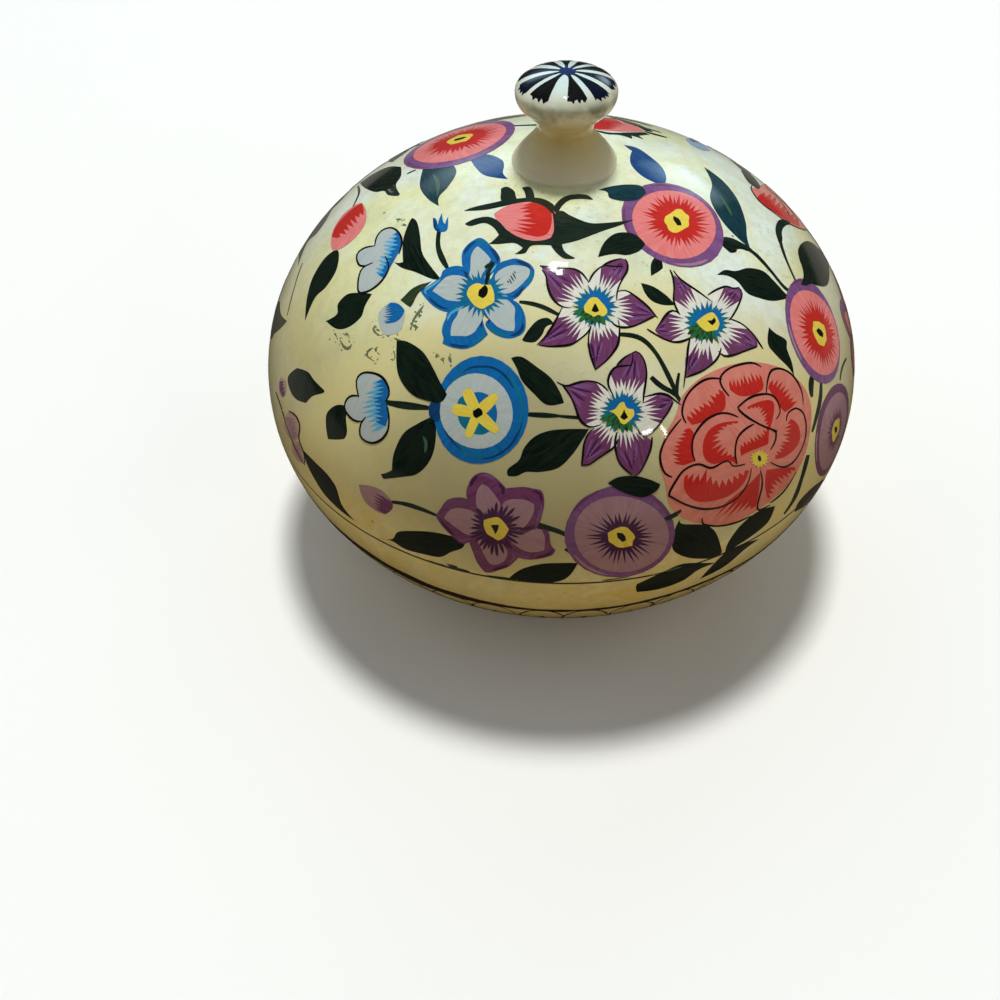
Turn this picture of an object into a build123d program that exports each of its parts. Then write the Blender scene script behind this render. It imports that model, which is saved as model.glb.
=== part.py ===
from build123d import *
from math import acos, asin, degrees, sqrt
import os

# A round lidded box of lacquered papier mache, with a turned wooden knob.
# Millimetres, +Z up, origin at the middle of the flat underside.

# ---- body: an ellipsoid cut in two a little below its widest line ----
body_radius = 57.5      # at the widest line
crown_rise = 44.5       # widest line up to the crown of the lid
bowl_drop = 42.0        # widest line down to where the bowl's curve would close
flat_radius = 29.0      # flat underside that the box stands on
underside_round = 3.0   # rounding where the flat turns up into the bowl
seam_drop = 2.8         # widest line down to the seam of lid and base

# ---- walls ----
lid_wall = 3.2          # at the crown
rim_wall = 3.6          # lid's wall at the seam, outside the collar
bowl_wall = 3.5         # under the bowl's curve
floor_thickness = 3.8   # over the flat underside
rim_round = 0.35        # outer edges of both rims, which leave the fine groove of the seam
bore_chamfer = 0.5      # lead-in of the lid's bore

# ---- collar: a ring glued into the base, which the lid slips over ----
collar_wall = 1.9
collar_stand = 8.0      # above the seam
collar_depth = 6.5      # below the seam, down to its ledge in the bowl
collar_headroom = 1.0   # free height over the collar, inside the lid
collar_chamfer = 0.7    # top outer edge
collar_round = 0.5      # top inner edge
collar_fit = 0.35       # radial clearance to the lid's bore
glue_gap = 0.05         # glue line between pieces that are stuck together

# ---- knob: one piece of turned wood, glued into the crown by its tenon ----
knob_foot_radius = 9.35
knob_foot_edge = 0.5    # widest line of the foot above the crown's surface there
knob_neck_radius = 5.0
knob_neck_rise = 5.7    # narrowest line above the crown
knob_head_radius = 8.8
knob_head_rise = 12.2   # widest line of the head above the crown
knob_head_height = 3.5  # widest line of the head up to its top
foot_handle = (-1.0, 2.0)    # the way the foot's curve leaves its widest line
hollow_handle = (0, -1.2)    # the way the neck's curve leaves it, downwards
flare_handle = (0, 3.0)      # the way the neck's curve leaves it, upwards
head_handle = (0, -3.5)      # the way the head's underside leaves its widest line
tenon_radius = 3.2

# ---- paper patch pasted over the tenon's end, inside the crown ----
patch_radius = 8.5
patch_thickness = 0.8

pole_flat = 0.3         # radius of the small flat where a domed face closes on the axis


def radius_at(half_width, half_height, height):
    """Radius of an ellipse at a height above or below its widest line."""
    return half_width * sqrt(1 - (height / half_height) ** 2)


def angle_at_height(half_height, height):
    return degrees(asin(height / half_height))


def angle_at_radius(half_width, radius):
    return degrees(acos(radius / half_width))


# ---- heights above the flat underside ----
widest_height = bowl_drop * sqrt(1 - (flat_radius / body_radius) ** 2)
crown_height = widest_height + crown_rise
seam_height = widest_height - seam_drop
centre = (0, widest_height)

# ---- collar, and what is bored to its size ----
lid_bore_radius = body_radius - rim_wall
collar_outer_radius = lid_bore_radius - collar_fit
collar_inner_radius = collar_outer_radius - collar_wall
base_bore_radius = collar_outer_radius + glue_gap
collar_top = seam_height + collar_stand
ledge_height = seam_height - collar_depth

# ---- inner curve of the lid: starts at the top of its bore ----
bore_top = collar_top + collar_headroom
lid_inner_rise = crown_rise - lid_wall
lid_inner_radius = lid_bore_radius / sqrt(1 - ((bore_top - widest_height) / lid_inner_rise) ** 2)
lid_inner_crown = widest_height + lid_inner_rise

# ---- inner curve of the bowl: starts flush with the collar at its ledge ----
bowl_inner_drop = bowl_drop - bowl_wall
bowl_inner_radius = collar_inner_radius / sqrt(1 - ((ledge_height - widest_height) / bowl_inner_drop) ** 2)
floor_radius = radius_at(bowl_inner_radius, bowl_inner_drop, widest_height - floor_thickness)

# ---- hole in the crown ----
crown_hole_radius = tenon_radius + glue_gap


def body_curve(half_width, half_height, first, last):
    """Arc of an ellipse about the body's centre, from one of its angles to another."""
    EllipticalCenterArc(centre, half_width, half_height, start_angle=first, arc_size=last - first)


def smooth_curve(start, start_handle, end, end_handle):
    """Cubic curve between two points, each with the handle that shapes its end."""
    leaving = (start[0] + start_handle[0], start[1] + start_handle[1])
    arriving = (end[0] + end_handle[0], end[1] + end_handle[1])
    Bezier(start, leaving, arriving, end)


def make_base_bowl():
    rim_radius = radius_at(body_radius, bowl_drop, seam_drop)
    with BuildPart() as base_bowl:
        with BuildSketch(Plane.XZ):
            with BuildLine():
                body_curve(
                    body_radius,
                    bowl_drop,
                    first=angle_at_height(bowl_drop, -widest_height),
                    last=angle_at_height(bowl_drop, -seam_drop),
                )
                Polyline(
                    (rim_radius, seam_height),
                    (base_bore_radius, seam_height),
                    (base_bore_radius, ledge_height),
                    (collar_inner_radius, ledge_height),
                )
                body_curve(
                    bowl_inner_radius,
                    bowl_inner_drop,
                    first=angle_at_height(bowl_inner_drop, floor_thickness - widest_height),
                    last=angle_at_height(bowl_inner_drop, ledge_height - widest_height),
                )
                Polyline(
                    (floor_radius, floor_thickness),
                    (0, floor_thickness),
                    (0, 0),
                    (flat_radius, 0),
                )
            make_face()
        revolve(axis=Axis.Z)
        circles = base_bowl.edges().filter_by(GeomType.CIRCLE)
        fillet(circles.group_by(Axis.Z)[0], radius=underside_round)
        circles = base_bowl.edges().filter_by(GeomType.CIRCLE)
        fillet(circles.group_by(Axis.Z)[-1].sort_by(SortBy.RADIUS)[-1], radius=rim_round)
    base_bowl.part.label = "base_bowl"
    export_step(base_bowl.part, "parts/base_bowl.step")


def make_base_collar():
    with BuildPart() as base_collar:
        with BuildSketch(Plane.XY.offset(ledge_height)):
            Circle(collar_outer_radius)
            Circle(collar_inner_radius, mode=Mode.SUBTRACT)
        extrude(amount=collar_top - ledge_height)
        top_circles = base_collar.edges().group_by(Axis.Z)[-1].sort_by(SortBy.RADIUS)
        chamfer(top_circles[-1], length=collar_chamfer)
        top_circles = base_collar.edges().group_by(Axis.Z)[-1].sort_by(SortBy.RADIUS)
        fillet(top_circles[0], radius=collar_round)
    base_collar.part.label = "base_collar"
    export_step(base_collar.part, "parts/base_collar.step")


def make_lid_dome():
    rim_radius = radius_at(body_radius, bowl_drop, seam_drop)
    hole_outside = widest_height + radius_at(crown_rise, body_radius, crown_hole_radius)
    hole_inside = widest_height + radius_at(lid_inner_rise, lid_inner_radius, crown_hole_radius)
    with BuildPart() as lid_dome:
        with BuildSketch(Plane.XZ):
            with BuildLine():
                body_curve(
                    body_radius,
                    bowl_drop,
                    first=angle_at_height(bowl_drop, -seam_drop),
                    last=0,
                )
                body_curve(
                    body_radius,
                    crown_rise,
                    first=0,
                    last=angle_at_radius(body_radius, crown_hole_radius),
                )
                Line((crown_hole_radius, hole_outside), (crown_hole_radius, hole_inside))
                body_curve(
                    lid_inner_radius,
                    lid_inner_rise,
                    first=angle_at_height(lid_inner_rise, bore_top - widest_height),
                    last=angle_at_radius(lid_inner_radius, crown_hole_radius),
                )
                Polyline(
                    (lid_bore_radius, bore_top),
                    (lid_bore_radius, seam_height),
                    (rim_radius, seam_height),
                )
            make_face()
        revolve(axis=Axis.Z)
        rim_circles = lid_dome.edges().filter_by(GeomType.CIRCLE).group_by(Axis.Z)[0]
        fillet(rim_circles.sort_by(SortBy.RADIUS)[-1], radius=rim_round)
        rim_circles = lid_dome.edges().filter_by(GeomType.CIRCLE).group_by(Axis.Z)[0]
        chamfer(rim_circles.sort_by(SortBy.RADIUS)[0], length=bore_chamfer)
    lid_dome.part.label = "lid_dome"
    export_step(lid_dome.part, "parts/lid_dome.step")


def make_knob():
    seat_width = body_radius + glue_gap
    seat_rise = crown_rise + glue_gap
    seat_edge = widest_height + radius_at(seat_rise, seat_width, knob_foot_radius)
    seat_middle = widest_height + radius_at(seat_rise, seat_width, tenon_radius)
    foot_edge = (knob_foot_radius, seat_edge + knob_foot_edge)
    neck = (knob_neck_radius, crown_height + knob_neck_rise)
    head_edge = (knob_head_radius, crown_height + knob_head_rise)
    head_top = head_edge[1] + radius_at(knob_head_height, knob_head_radius, pole_flat)
    with BuildPart() as knob:
        with BuildSketch(Plane.XZ):
            with BuildLine():
                body_curve(
                    seat_width,
                    seat_rise,
                    first=angle_at_radius(seat_width, knob_foot_radius),
                    last=angle_at_radius(seat_width, tenon_radius),
                )
                Line((knob_foot_radius, seat_edge), foot_edge)
                smooth_curve(foot_edge, foot_handle, neck, hollow_handle)
                smooth_curve(neck, flare_handle, head_edge, head_handle)
                EllipticalCenterArc(
                    (0, head_edge[1]),
                    knob_head_radius,
                    knob_head_height,
                    start_angle=0,
                    arc_size=angle_at_radius(knob_head_radius, pole_flat),
                )
                Polyline(
                    (pole_flat, head_top),
                    (0, head_top),
                    (0, lid_inner_crown),
                    (tenon_radius, lid_inner_crown),
                    (tenon_radius, seat_middle),
                )
            make_face()
        revolve(axis=Axis.Z)
    knob.part.label = "knob"
    export_step(knob.part, "parts/knob.step")


def make_crown_patch():
    outer_width = lid_inner_radius - glue_gap
    outer_rise = lid_inner_rise - glue_gap
    inner_width = outer_width - patch_thickness
    inner_rise = outer_rise - patch_thickness
    edge_outside = widest_height + radius_at(outer_rise, outer_width, patch_radius)
    edge_inside = widest_height + radius_at(inner_rise, inner_width, patch_radius)
    middle_outside = widest_height + radius_at(outer_rise, outer_width, pole_flat)
    middle_inside = widest_height + radius_at(inner_rise, inner_width, pole_flat)
    with BuildPart() as crown_patch:
        with BuildSketch(Plane.XZ):
            with BuildLine():
                body_curve(
                    outer_width,
                    outer_rise,
                    first=angle_at_radius(outer_width, patch_radius),
                    last=angle_at_radius(outer_width, pole_flat),
                )
                Polyline(
                    (pole_flat, middle_outside),
                    (0, middle_outside),
                    (0, middle_inside),
                    (pole_flat, middle_inside),
                )
                body_curve(
                    inner_width,
                    inner_rise,
                    first=angle_at_radius(inner_width, patch_radius),
                    last=angle_at_radius(inner_width, pole_flat),
                )
                Line((patch_radius, edge_inside), (patch_radius, edge_outside))
            make_face()
        revolve(axis=Axis.Z)
    crown_patch.part.label = "crown_patch"
    export_step(crown_patch.part, "parts/crown_patch.step")


os.makedirs("parts", exist_ok=True)
make_base_bowl()
make_base_collar()
make_lid_dome()
make_knob()
make_crown_patch()
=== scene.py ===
import random
from math import acos, asin, atan2, ceil, cos, degrees, pi, radians, sin, sqrt

import bpy
from mathutils import Matrix, Vector
from mathutils.geometry import delaunay_2d_cdt


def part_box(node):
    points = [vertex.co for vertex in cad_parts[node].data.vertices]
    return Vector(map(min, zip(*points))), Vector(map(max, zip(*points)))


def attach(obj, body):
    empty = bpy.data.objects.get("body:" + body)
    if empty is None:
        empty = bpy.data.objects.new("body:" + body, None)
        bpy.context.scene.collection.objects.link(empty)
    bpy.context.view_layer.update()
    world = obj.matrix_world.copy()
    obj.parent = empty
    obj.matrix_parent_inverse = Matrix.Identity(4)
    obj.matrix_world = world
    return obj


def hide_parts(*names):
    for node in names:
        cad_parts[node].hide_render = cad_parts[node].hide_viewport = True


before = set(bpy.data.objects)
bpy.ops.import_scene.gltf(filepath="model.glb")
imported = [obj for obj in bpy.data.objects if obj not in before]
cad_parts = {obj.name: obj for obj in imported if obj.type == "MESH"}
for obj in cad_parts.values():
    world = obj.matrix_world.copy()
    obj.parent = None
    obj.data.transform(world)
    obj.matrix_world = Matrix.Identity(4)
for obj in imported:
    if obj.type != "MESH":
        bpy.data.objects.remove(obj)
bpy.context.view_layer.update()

# Sizes are millimetres in this script. They become metres, by MM, where a mesh, a material or the camera
# is made.
MM = 0.001

# ---- the box, as the CAD has it ----
BODY_RADIUS = 57.5
CROWN_RISE = 44.5
BOWL_DROP = 42.0
FLAT_RADIUS = 29.0
LID_BORE_RADIUS = 53.9
BORE_TOP = 42.467
BORE_CHAMFER = 0.5
LID_INNER_RADIUS = 54.518
LID_INNER_RISE = 41.3
COLLAR_SEAT_RADIUS = 53.6
COLLAR_INNER_RADIUS = 51.65
COLLAR_LEDGE = 26.967
BOWL_INNER_RADIUS = 53.226
BOWL_INNER_DROP = 38.5
FLOOR_THICKNESS = 3.8
RIM_ROUND = 0.35
RIM_ROUND_STEP = 15     # degrees between the points of that round
CROWN_HOLE = 3.25
TENON_RADIUS = 3.2
KNOB_FOOT_RADIUS = 9.35
KNOB_FOOT_EDGE = 0.5
KNOB_NECK_RADIUS = 5.0
KNOB_NECK_RISE = 5.7
KNOB_HEAD_RADIUS = 8.8
KNOB_HEAD_RISE = 12.2
KNOB_HEAD_HEIGHT = 3.5
FOOT_HANDLE = (-1.0, 2.0)
HOLLOW_HANDLE = (0, -1.2)
FLARE_HANDLE = (0, 3.0)
HEAD_HANDLE = (0, -3.5)
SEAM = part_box("lid_dome")[0].z / MM
WIDEST = BOWL_DROP * sqrt(1 - (FLAT_RADIUS / BODY_RADIUS) ** 2)
CROWN = WIDEST + CROWN_RISE

# ---- paint and mesh ----
COAT = 0.13             # room kept under the CAD surface for paint and lacquer
LIFT = 0.014            # one coat of paint over another
LEAF_COAT = 1
STEM_COAT = 2
FLOWER_COAT = 3
OVER_COAT = 7           # what is painted over a flower
STEP = 1.2              # longest edge of a painted face
RIM_STEP = STEP * 0.7   # the same, along the edge of a filled outline
STROKE_STEP = STEP * 0.6
PIXEL = 0.2             # a picture unit on the front of the lid
TURNS = 288             # faces round a turned shape
TURNED_CREASE = 35      # degrees between faces that stay sharp on a turned shape
TINY = 1e-4             # closer points of a profile count as one
WELD = 1e-5             # closer spots of a filled outline count as one
INSIDE_ONLY = 1         # a filled outline is split into faces without its surroundings
LEAST_ROWS = 4          # across the shortest stroke
SEAM_GAP = 0.1          # bare edge between the seam and the paint on either side of it
SHARP_TURN = 62         # degrees of turn that make a corner in a painted outline
STROKE_RAMP = 0.3       # share of a stroke over which its width comes up from an end
FAN = 4                 # how fast the streaks follow one another round a flower's middle
SPAN_STEPS = 6          # points of a soft line for each one that is given
LINE_WIDTH = 1.9        # fine black lines round petals, in picture units

# ---- the photograph's camera, found from the box's outline, seam and knob ----
EYE = Vector((-12.11, -190.95, 185.34))
PITCH = radians(44.613)
ROLL = radians(-0.8397)
FOCAL = 1200
PICTURE = 1000
SENSOR = 36
NEAREST_SEEN = 0.01     # metres

AHEAD = Vector((0, cos(PITCH), -sin(PITCH)))
LEVEL_RIGHT = Vector((1, 0, 0))
LEVEL_UP = Vector((0, sin(PITCH), cos(PITCH)))
RIGHT = cos(ROLL) * LEVEL_RIGHT + sin(ROLL) * LEVEL_UP
UP = -sin(ROLL) * LEVEL_RIGHT + cos(ROLL) * LEVEL_UP


# ---------------------------------------------------------------- colours and materials

def colour(red, green, blue):
    """A colour as a screen shows it, 0 to 255, in the numbers that a shader wants."""
    def linear(part):
        part /= 255
        return part / 12.92 if part <= 0.04045 else ((part + 0.055) / 1.055) ** 2.4
    return linear(red), linear(green), linear(blue), 1


# Each paint is its colour, and the colour that its brush marks turn to.
PAINTS = {
    "leaf_green": ((4, 16, 11), (27, 45, 31)),
    "leaf_olive": ((26, 42, 28), (70, 88, 50)),
    "leaf_teal": ((8, 42, 54), (24, 72, 78)),
    "leaf_blue": ((0, 74, 138), (2, 38, 92)),
    "leaf_light": ((70, 104, 76), (40, 76, 56)),
    "stem_green": ((13, 28, 22), (34, 52, 38)),
    "black": ((9, 9, 10), (22, 20, 20)),
    "line_brown": ((58, 36, 20), (34, 24, 14)),
    # painted shade of the seam's groove, on the round of the base's rim
    "seam_shade": ((58, 54, 34), (96, 88, 52)),
    "faded_mauve": ((198, 170, 154), (172, 136, 134)),
    "rose": ((218, 124, 110), (230, 148, 132)),
    "white": ((238, 238, 226), (212, 212, 200)),
    "grey_white": ((190, 200, 196), (168, 184, 188)),
    "blue": ((8, 112, 182), (18, 84, 150)),
    "deep_blue": ((8, 66, 122), (8, 46, 92)),
    "sky_blue": ((70, 160, 210), (120, 190, 220)),
    "faint_blue": ((118, 158, 206), (150, 182, 208)),
    "teal": ((8, 122, 150), (20, 92, 128)),
    "green": ((38, 120, 60), (30, 90, 60)),
    "yellow": ((240, 222, 88), (224, 190, 62)),
    "pink": ((226, 120, 120), (238, 146, 142)),
    "red": ((206, 44, 34), (186, 30, 28)),
    "purple": ((124, 68, 110), (92, 42, 86)),
    "violet": ((132, 88, 140), (108, 64, 116)),
    "mauve": ((172, 136, 146), (154, 114, 132)),
    "dark_purple": ((80, 30, 80), (54, 20, 60)),
    "smudge": ((96, 108, 78), (128, 134, 96)),
    "star_blue": ((4, 18, 46), (6, 10, 20)),
    "star_centre": ((0, 48, 116), (2, 30, 80)),
}
BASE_SPECULAR = 0.15    # gloss of the paint under the lacquer
LACQUER_IOR = 1.42
LACQUER_ROUGHNESS = 0.05
STREAK_DEPTH = 0.012    # relief of brush marks and turning marks, in millimetres
STREAKS_APART = 40      # how far the streaks of one stroke are from another's, in the noise


def feed(tree, socket, value):
    """Sets a socket to a number or a colour, or links it to another node's output."""
    if isinstance(value, bpy.types.NodeSocket):
        tree.links.new(value, socket)
    else:
        socket.default_value = value


def add_node(tree, kind, output, inputs=None, **settings):
    """A node with its settings made and its inputs fed, by name or number. Gives one of its outputs."""
    node = tree.nodes.new(kind)
    for name, value in settings.items():
        setattr(node, name, value)
    for key, value in (inputs or {}).items():
        feed(tree, node.inputs[key], value)
    return node.outputs[output]


def add_noise(tree, place, scale, detail=3, roughness=0.55, distortion=0):
    inputs = {"Vector": place, "Scale": scale, "Detail": detail}
    inputs |= {"Roughness": roughness, "Distortion": distortion}
    return add_node(tree, "ShaderNodeTexNoise", "Fac", inputs)


def add_range(tree, value, low, high, to_low=0, to_high=1):
    """Stretches a value between two limits, and stops it at them."""
    inputs = {"Value": value, "From Min": low, "From Max": high, "To Min": to_low, "To Max": to_high}
    return add_node(tree, "ShaderNodeMapRange", "Result", inputs)


def add_patches(tree, place, scale, low, high, most=1, **settings):
    """Patches of noise: nothing where it is below one level, and the most above another."""
    return add_range(tree, add_noise(tree, place, scale, **settings), low, high, 0, most)


def add_mix(tree, amount, first, second):
    """Mixes two colours, each given as numbers or as another node's output."""
    inputs = {"Factor": amount, "A": first, "B": second}
    return add_node(tree, "ShaderNodeMix", "Result", inputs, data_type="RGBA")


def add_product(tree, first, second):
    return add_node(tree, "ShaderNodeMath", "Value", {0: first, 1: second}, operation="MULTIPLY")


def add_stretch(tree, place, factors):
    """Coordinates drawn out by a factor along each axis."""
    return add_node(tree, "ShaderNodeVectorMath", "Vector", {0: place, 1: factors}, operation="MULTIPLY")


def add_distance(tree, place, spot):
    return add_node(tree, "ShaderNodeVectorMath", "Value", {0: place, 1: spot}, operation="DISTANCE")


def add_axis(tree, place, axis):
    """One coordinate of a place: X, Y or Z."""
    return add_node(tree, "ShaderNodeSeparateXYZ", axis, {0: place})


def add_band(tree, along, stops, most):
    """Comes up from nothing between the first two stops, and goes back to it between the last two."""
    start, full, ebb, end = [stop * MM for stop in stops]
    rising = add_range(tree, along, start, full)
    falling = add_range(tree, along, end, ebb, 0, most)
    return add_product(tree, rising, falling)


def add_bump(tree, height, depth, under=None):
    """Turns a height of 0 to 1 into relief of that depth in millimetres, over other relief."""
    inputs = {"Strength": 1, "Distance": depth * MM, "Height": height}
    if under is not None:
        inputs["Normal"] = under
    return add_node(tree, "ShaderNodeBump", "Normal", inputs)


def object_place(tree):
    return add_node(tree, "ShaderNodeTexCoord", "Object")


def brush_place(tree, along, across):
    """Coordinates that stretch along the brush marks, from the piece's brush attribute."""
    brush = add_node(tree, "ShaderNodeAttribute", "Vector", attribute_name="brush")
    return add_stretch(tree, brush, (along, across, STREAKS_APART))


def new_material(name, roughness, specular):
    """A new material, its node tree and its shader."""
    material = bpy.data.materials.new(name)
    material.use_nodes = True
    shader = material.node_tree.nodes["Principled BSDF"]
    shader.inputs["Roughness"].default_value = roughness
    shader.inputs["Specular IOR Level"].default_value = specular
    return material, material.node_tree, shader


def lacquered_material(name, roughness, coat_roughness=LACQUER_ROUGHNESS):
    """The same, with clear lacquer over it."""
    material, tree, shader = new_material(name, roughness, BASE_SPECULAR)
    shader.inputs["Coat Weight"].default_value = 1
    shader.inputs["Coat Roughness"].default_value = coat_roughness
    shader.inputs["Coat IOR"].default_value = LACQUER_IOR
    return material, tree, shader


def lacquer_over(tree, shader, shade, marks, depth):
    """The paint's colour and the relief of its marks, under brushed lacquer with slow waves and dimples."""
    place = object_place(tree)
    waves = add_bump(tree, add_noise(tree, place, scale=110, detail=2), depth=0.10)
    relief = add_bump(tree, add_noise(tree, place, scale=620, detail=1), depth=0.006, under=waves)
    tree.links.new(shade, shader.inputs["Base Color"])
    tree.links.new(add_bump(tree, marks, depth, under=relief), shader.inputs["Normal"])
    tree.links.new(relief, shader.inputs["Coat Normal"])


def paint_material(name):
    """Brush paint under clear lacquer: streaks along the stroke, thin and thick patches."""
    body_shade, mark_shade = [colour(*shade) for shade in PAINTS[name]]
    material, tree, shader = lacquered_material("paint_" + name, roughness=0.5)
    streaks = add_patches(tree, brush_place(tree, 0.35, 3.2), scale=1, low=0.42, high=0.72, detail=4)
    patches = add_patches(tree, object_place(tree), scale=260, low=0.4, high=0.75)
    streaked = add_mix(tree, streaks, body_shade, mark_shade)
    soft = tuple(0.5 * (a + b) for a, b in zip(body_shade, mark_shade))
    lacquer_over(tree, shader, add_mix(tree, patches, streaked, soft), streaks, STREAK_DEPTH)
    return material


FRONT_SHADE_SPOT = Vector((-10.0, -51.6, 54.4)) * MM   # middle of the painted shade at the front, where the light from behind falls off
FRONT_SHADE_REACH = (26, 12)                           # how far from there it starts, and where it is full
LOW_SHADE_BAND = (0, 14, 18, 32)                     # stops of the duller band, up from the widest line
FRONT_NO_SHEEN_BAND = (-47, -38, -33, -26)              # stops of the yellower band, from the front backwards
SHEEN_PEAK_DROP = 10                                 # drop from the crown to where the ground is palest


def cream_clouds(tree, place, height):
    """Pale and yellow clouds, turning towards the crown into a painted sheen: the bluish white of the sky's
    reflection.
    """
    # painted reflection: the ground pales to bluish white towards the crown, where the lacquer mirrors the
    # bright sky
    rise = add_range(tree, height, WIDEST * MM, (CROWN - SHEEN_PEAK_DROP) * MM)
    pale = add_mix(tree, rise, colour(224, 214, 154), colour(232, 245, 236))
    yellow = add_mix(tree, rise, colour(222, 202, 122), colour(232, 236, 182))
    clouds = add_patches(tree, place, scale=42, low=0.44, high=0.62, detail=4, distortion=0.8)
    return add_mix(tree, clouds, pale, yellow)


def cream_specks(tree, place):
    """Small dark specks, gathered in a few places."""
    distance = add_node(tree, "ShaderNodeTexVoronoi", "Distance", {"Vector": place, "Scale": 240})
    dots = add_range(tree, distance, 0.04, 0.09, 0.75, 0)
    return add_product(tree, dots, add_patches(tree, place, scale=130, low=0.56, high=0.6, detail=1))


def cream_material():
    """The cream ground: clouds, drifts, dabs, mottling, rubbed spots and specks, with painted shade in a band
    and at the front.
    """
    material, tree, shader = lacquered_material("ground_cream", roughness=0.45)
    place = object_place(tree)
    height = add_axis(tree, place, "Z")
    drifts = add_patches(tree, place, scale=85, low=0.5, high=0.7, most=0.6, detail=5, roughness=0.65)
    dabs = add_patches(
        tree, place, scale=210, low=0.48, high=0.66, most=0.5, detail=4, roughness=0.6, distortion=1.2)
    mottle = add_patches(tree, place, scale=520, low=0.42, high=0.66, most=0.3, detail=4, roughness=0.75)
    rubbed = add_patches(tree, place, scale=900, low=0.58, high=0.7, most=0.55, detail=3, roughness=0.8)
    rubbed = add_product(tree, rubbed, add_patches(tree, place, scale=60, low=0.47, high=0.6, detail=2))
    # painted shade: a darker band round the lid from the widest line up, where the light from above falls off
    low_band_shade = add_band(tree, height, [WIDEST + stop for stop in LOW_SHADE_BAND], 0.5)
    # painted light: the front is painted yellower, as it looks where the lacquer mirrors no bright sky
    front_no_sheen = add_band(tree, add_axis(tree, place, "Y"), FRONT_NO_SHEEN_BAND, 0.8)
    # painted shade: the ground darkens round a spot at the front, where the light from behind falls off
    from_front_shade = add_distance(tree, place, FRONT_SHADE_SPOT)
    front_shade = add_range(tree, from_front_shade, FRONT_SHADE_REACH[0] * MM, FRONT_SHADE_REACH[1] * MM, 0, 0.9)
    ground = cream_clouds(tree, place, height)
    for cover, shade in (
        (drifts, (196, 204, 168)),
        (dabs, (236, 230, 190)),
        (mottle, (198, 190, 142)),
        (rubbed, (136, 140, 104)),
        (cream_specks(tree, place), (92, 88, 62)),
        (low_band_shade, (176, 166, 118)),
        (front_no_sheen, (228, 218, 154)),
        (front_shade, (182, 174, 128)),
    ):
        ground = add_mix(tree, cover, ground, colour(*shade))
    lacquer_over(tree, shader, ground, mottle, depth=0.02)
    return material


def knob_material():
    """Ivory paint on turned wood, with painted shade up to the neck, a painted reflection on top, and murky
    painted shade under the head.
    """
    material, tree, shader = lacquered_material("knob_ivory", roughness=0.4, coat_roughness=0.04)
    place = object_place(tree)
    height = add_axis(tree, place, "Z")

    def between_rises(first, last):
        return add_range(tree, height, (CROWN + first) * MM, (CROWN + last) * MM)

    above_neck = between_rises(KNOB_NECK_RISE, KNOB_HEAD_RISE)
    # painted shade and reflection: murky green-grey under the head's rim
    shade_under_head = add_patches(tree, place, scale=150, low=0.42, high=0.58, most=0.9)
    shade_under_head = add_product(tree, add_product(tree, shade_under_head, between_rises(14.2, 12.0)), above_neck)
    turned = add_stretch(tree, place, (120, 120, 2600))
    rings = add_patches(tree, turned, scale=1, low=0.45, high=0.7, most=0.08)
    # painted shade: from the pale foot to a dark yellow-brown neck, in the head's shadow
    ivory = add_mix(tree, between_rises(-0.5, KNOB_NECK_RISE), colour(240, 236, 208), colour(204, 186, 118))
    for cover, shade in (
        (above_neck, (222, 226, 206)),
        # painted reflection: the top of the head bluer, where it mirrors the sky
        (between_rises(13.6, 15.7), (212, 236, 240)),
        (shade_under_head, (116, 128, 102)),
        (rings, (168, 158, 112)),
    ):
        ivory = add_mix(tree, cover, ivory, colour(*shade))
    lacquer_over(tree, shader, ivory, rings, STREAK_DEPTH)
    return material


def satin_black_material():
    """Plain black lacquer inside the box, brushed round, with a little dust and wear."""
    material, tree, shader = lacquered_material("inside_satin_black", roughness=0.5, coat_roughness=0.3)
    place = object_place(tree)
    round_the_wall = add_stretch(tree, place, (40, 40, 1800))
    brushed = add_patches(tree, round_the_wall, scale=1, low=0.4, high=0.75, detail=4)
    dust = add_patches(tree, place, scale=500, low=0.55, high=0.8, most=0.6, detail=5, roughness=0.7)
    black = add_mix(tree, brushed, colour(24, 23, 24), colour(40, 37, 35))
    black = add_mix(tree, dust, black, colour(62, 58, 52))
    relief = add_bump(tree, dust, depth=0.03, under=add_bump(tree, brushed, depth=0.05))
    tree.links.new(black, shader.inputs["Base Color"])
    tree.links.new(relief, shader.inputs["Normal"])
    tree.links.new(relief, shader.inputs["Coat Normal"])
    return material


MATERIALS = {name: paint_material(name) for name in PAINTS}
MATERIALS["cream"] = cream_material()
MATERIALS["ivory"] = knob_material()
MATERIALS["satin_black"] = satin_black_material()


def add_object(name, data):
    holder = bpy.data.objects.new(name, data)
    bpy.context.collection.objects.link(holder)
    return holder


def add_mesh(name, corners, faces, materials, indices):
    """A smooth shape in the scene: its corners and faces, and the number of each face's material."""
    mesh = bpy.data.meshes.new(name)
    mesh.from_pydata(corners, [], faces)
    for material in materials:
        mesh.materials.append(material)
    mesh.polygons.foreach_set("material_index", indices)
    mesh.polygons.foreach_set("use_smooth", [True] * len(faces))
    return add_object(name, mesh)


# ---------------------------------------------------------------- curved surfaces and ways to draw on them

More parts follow.
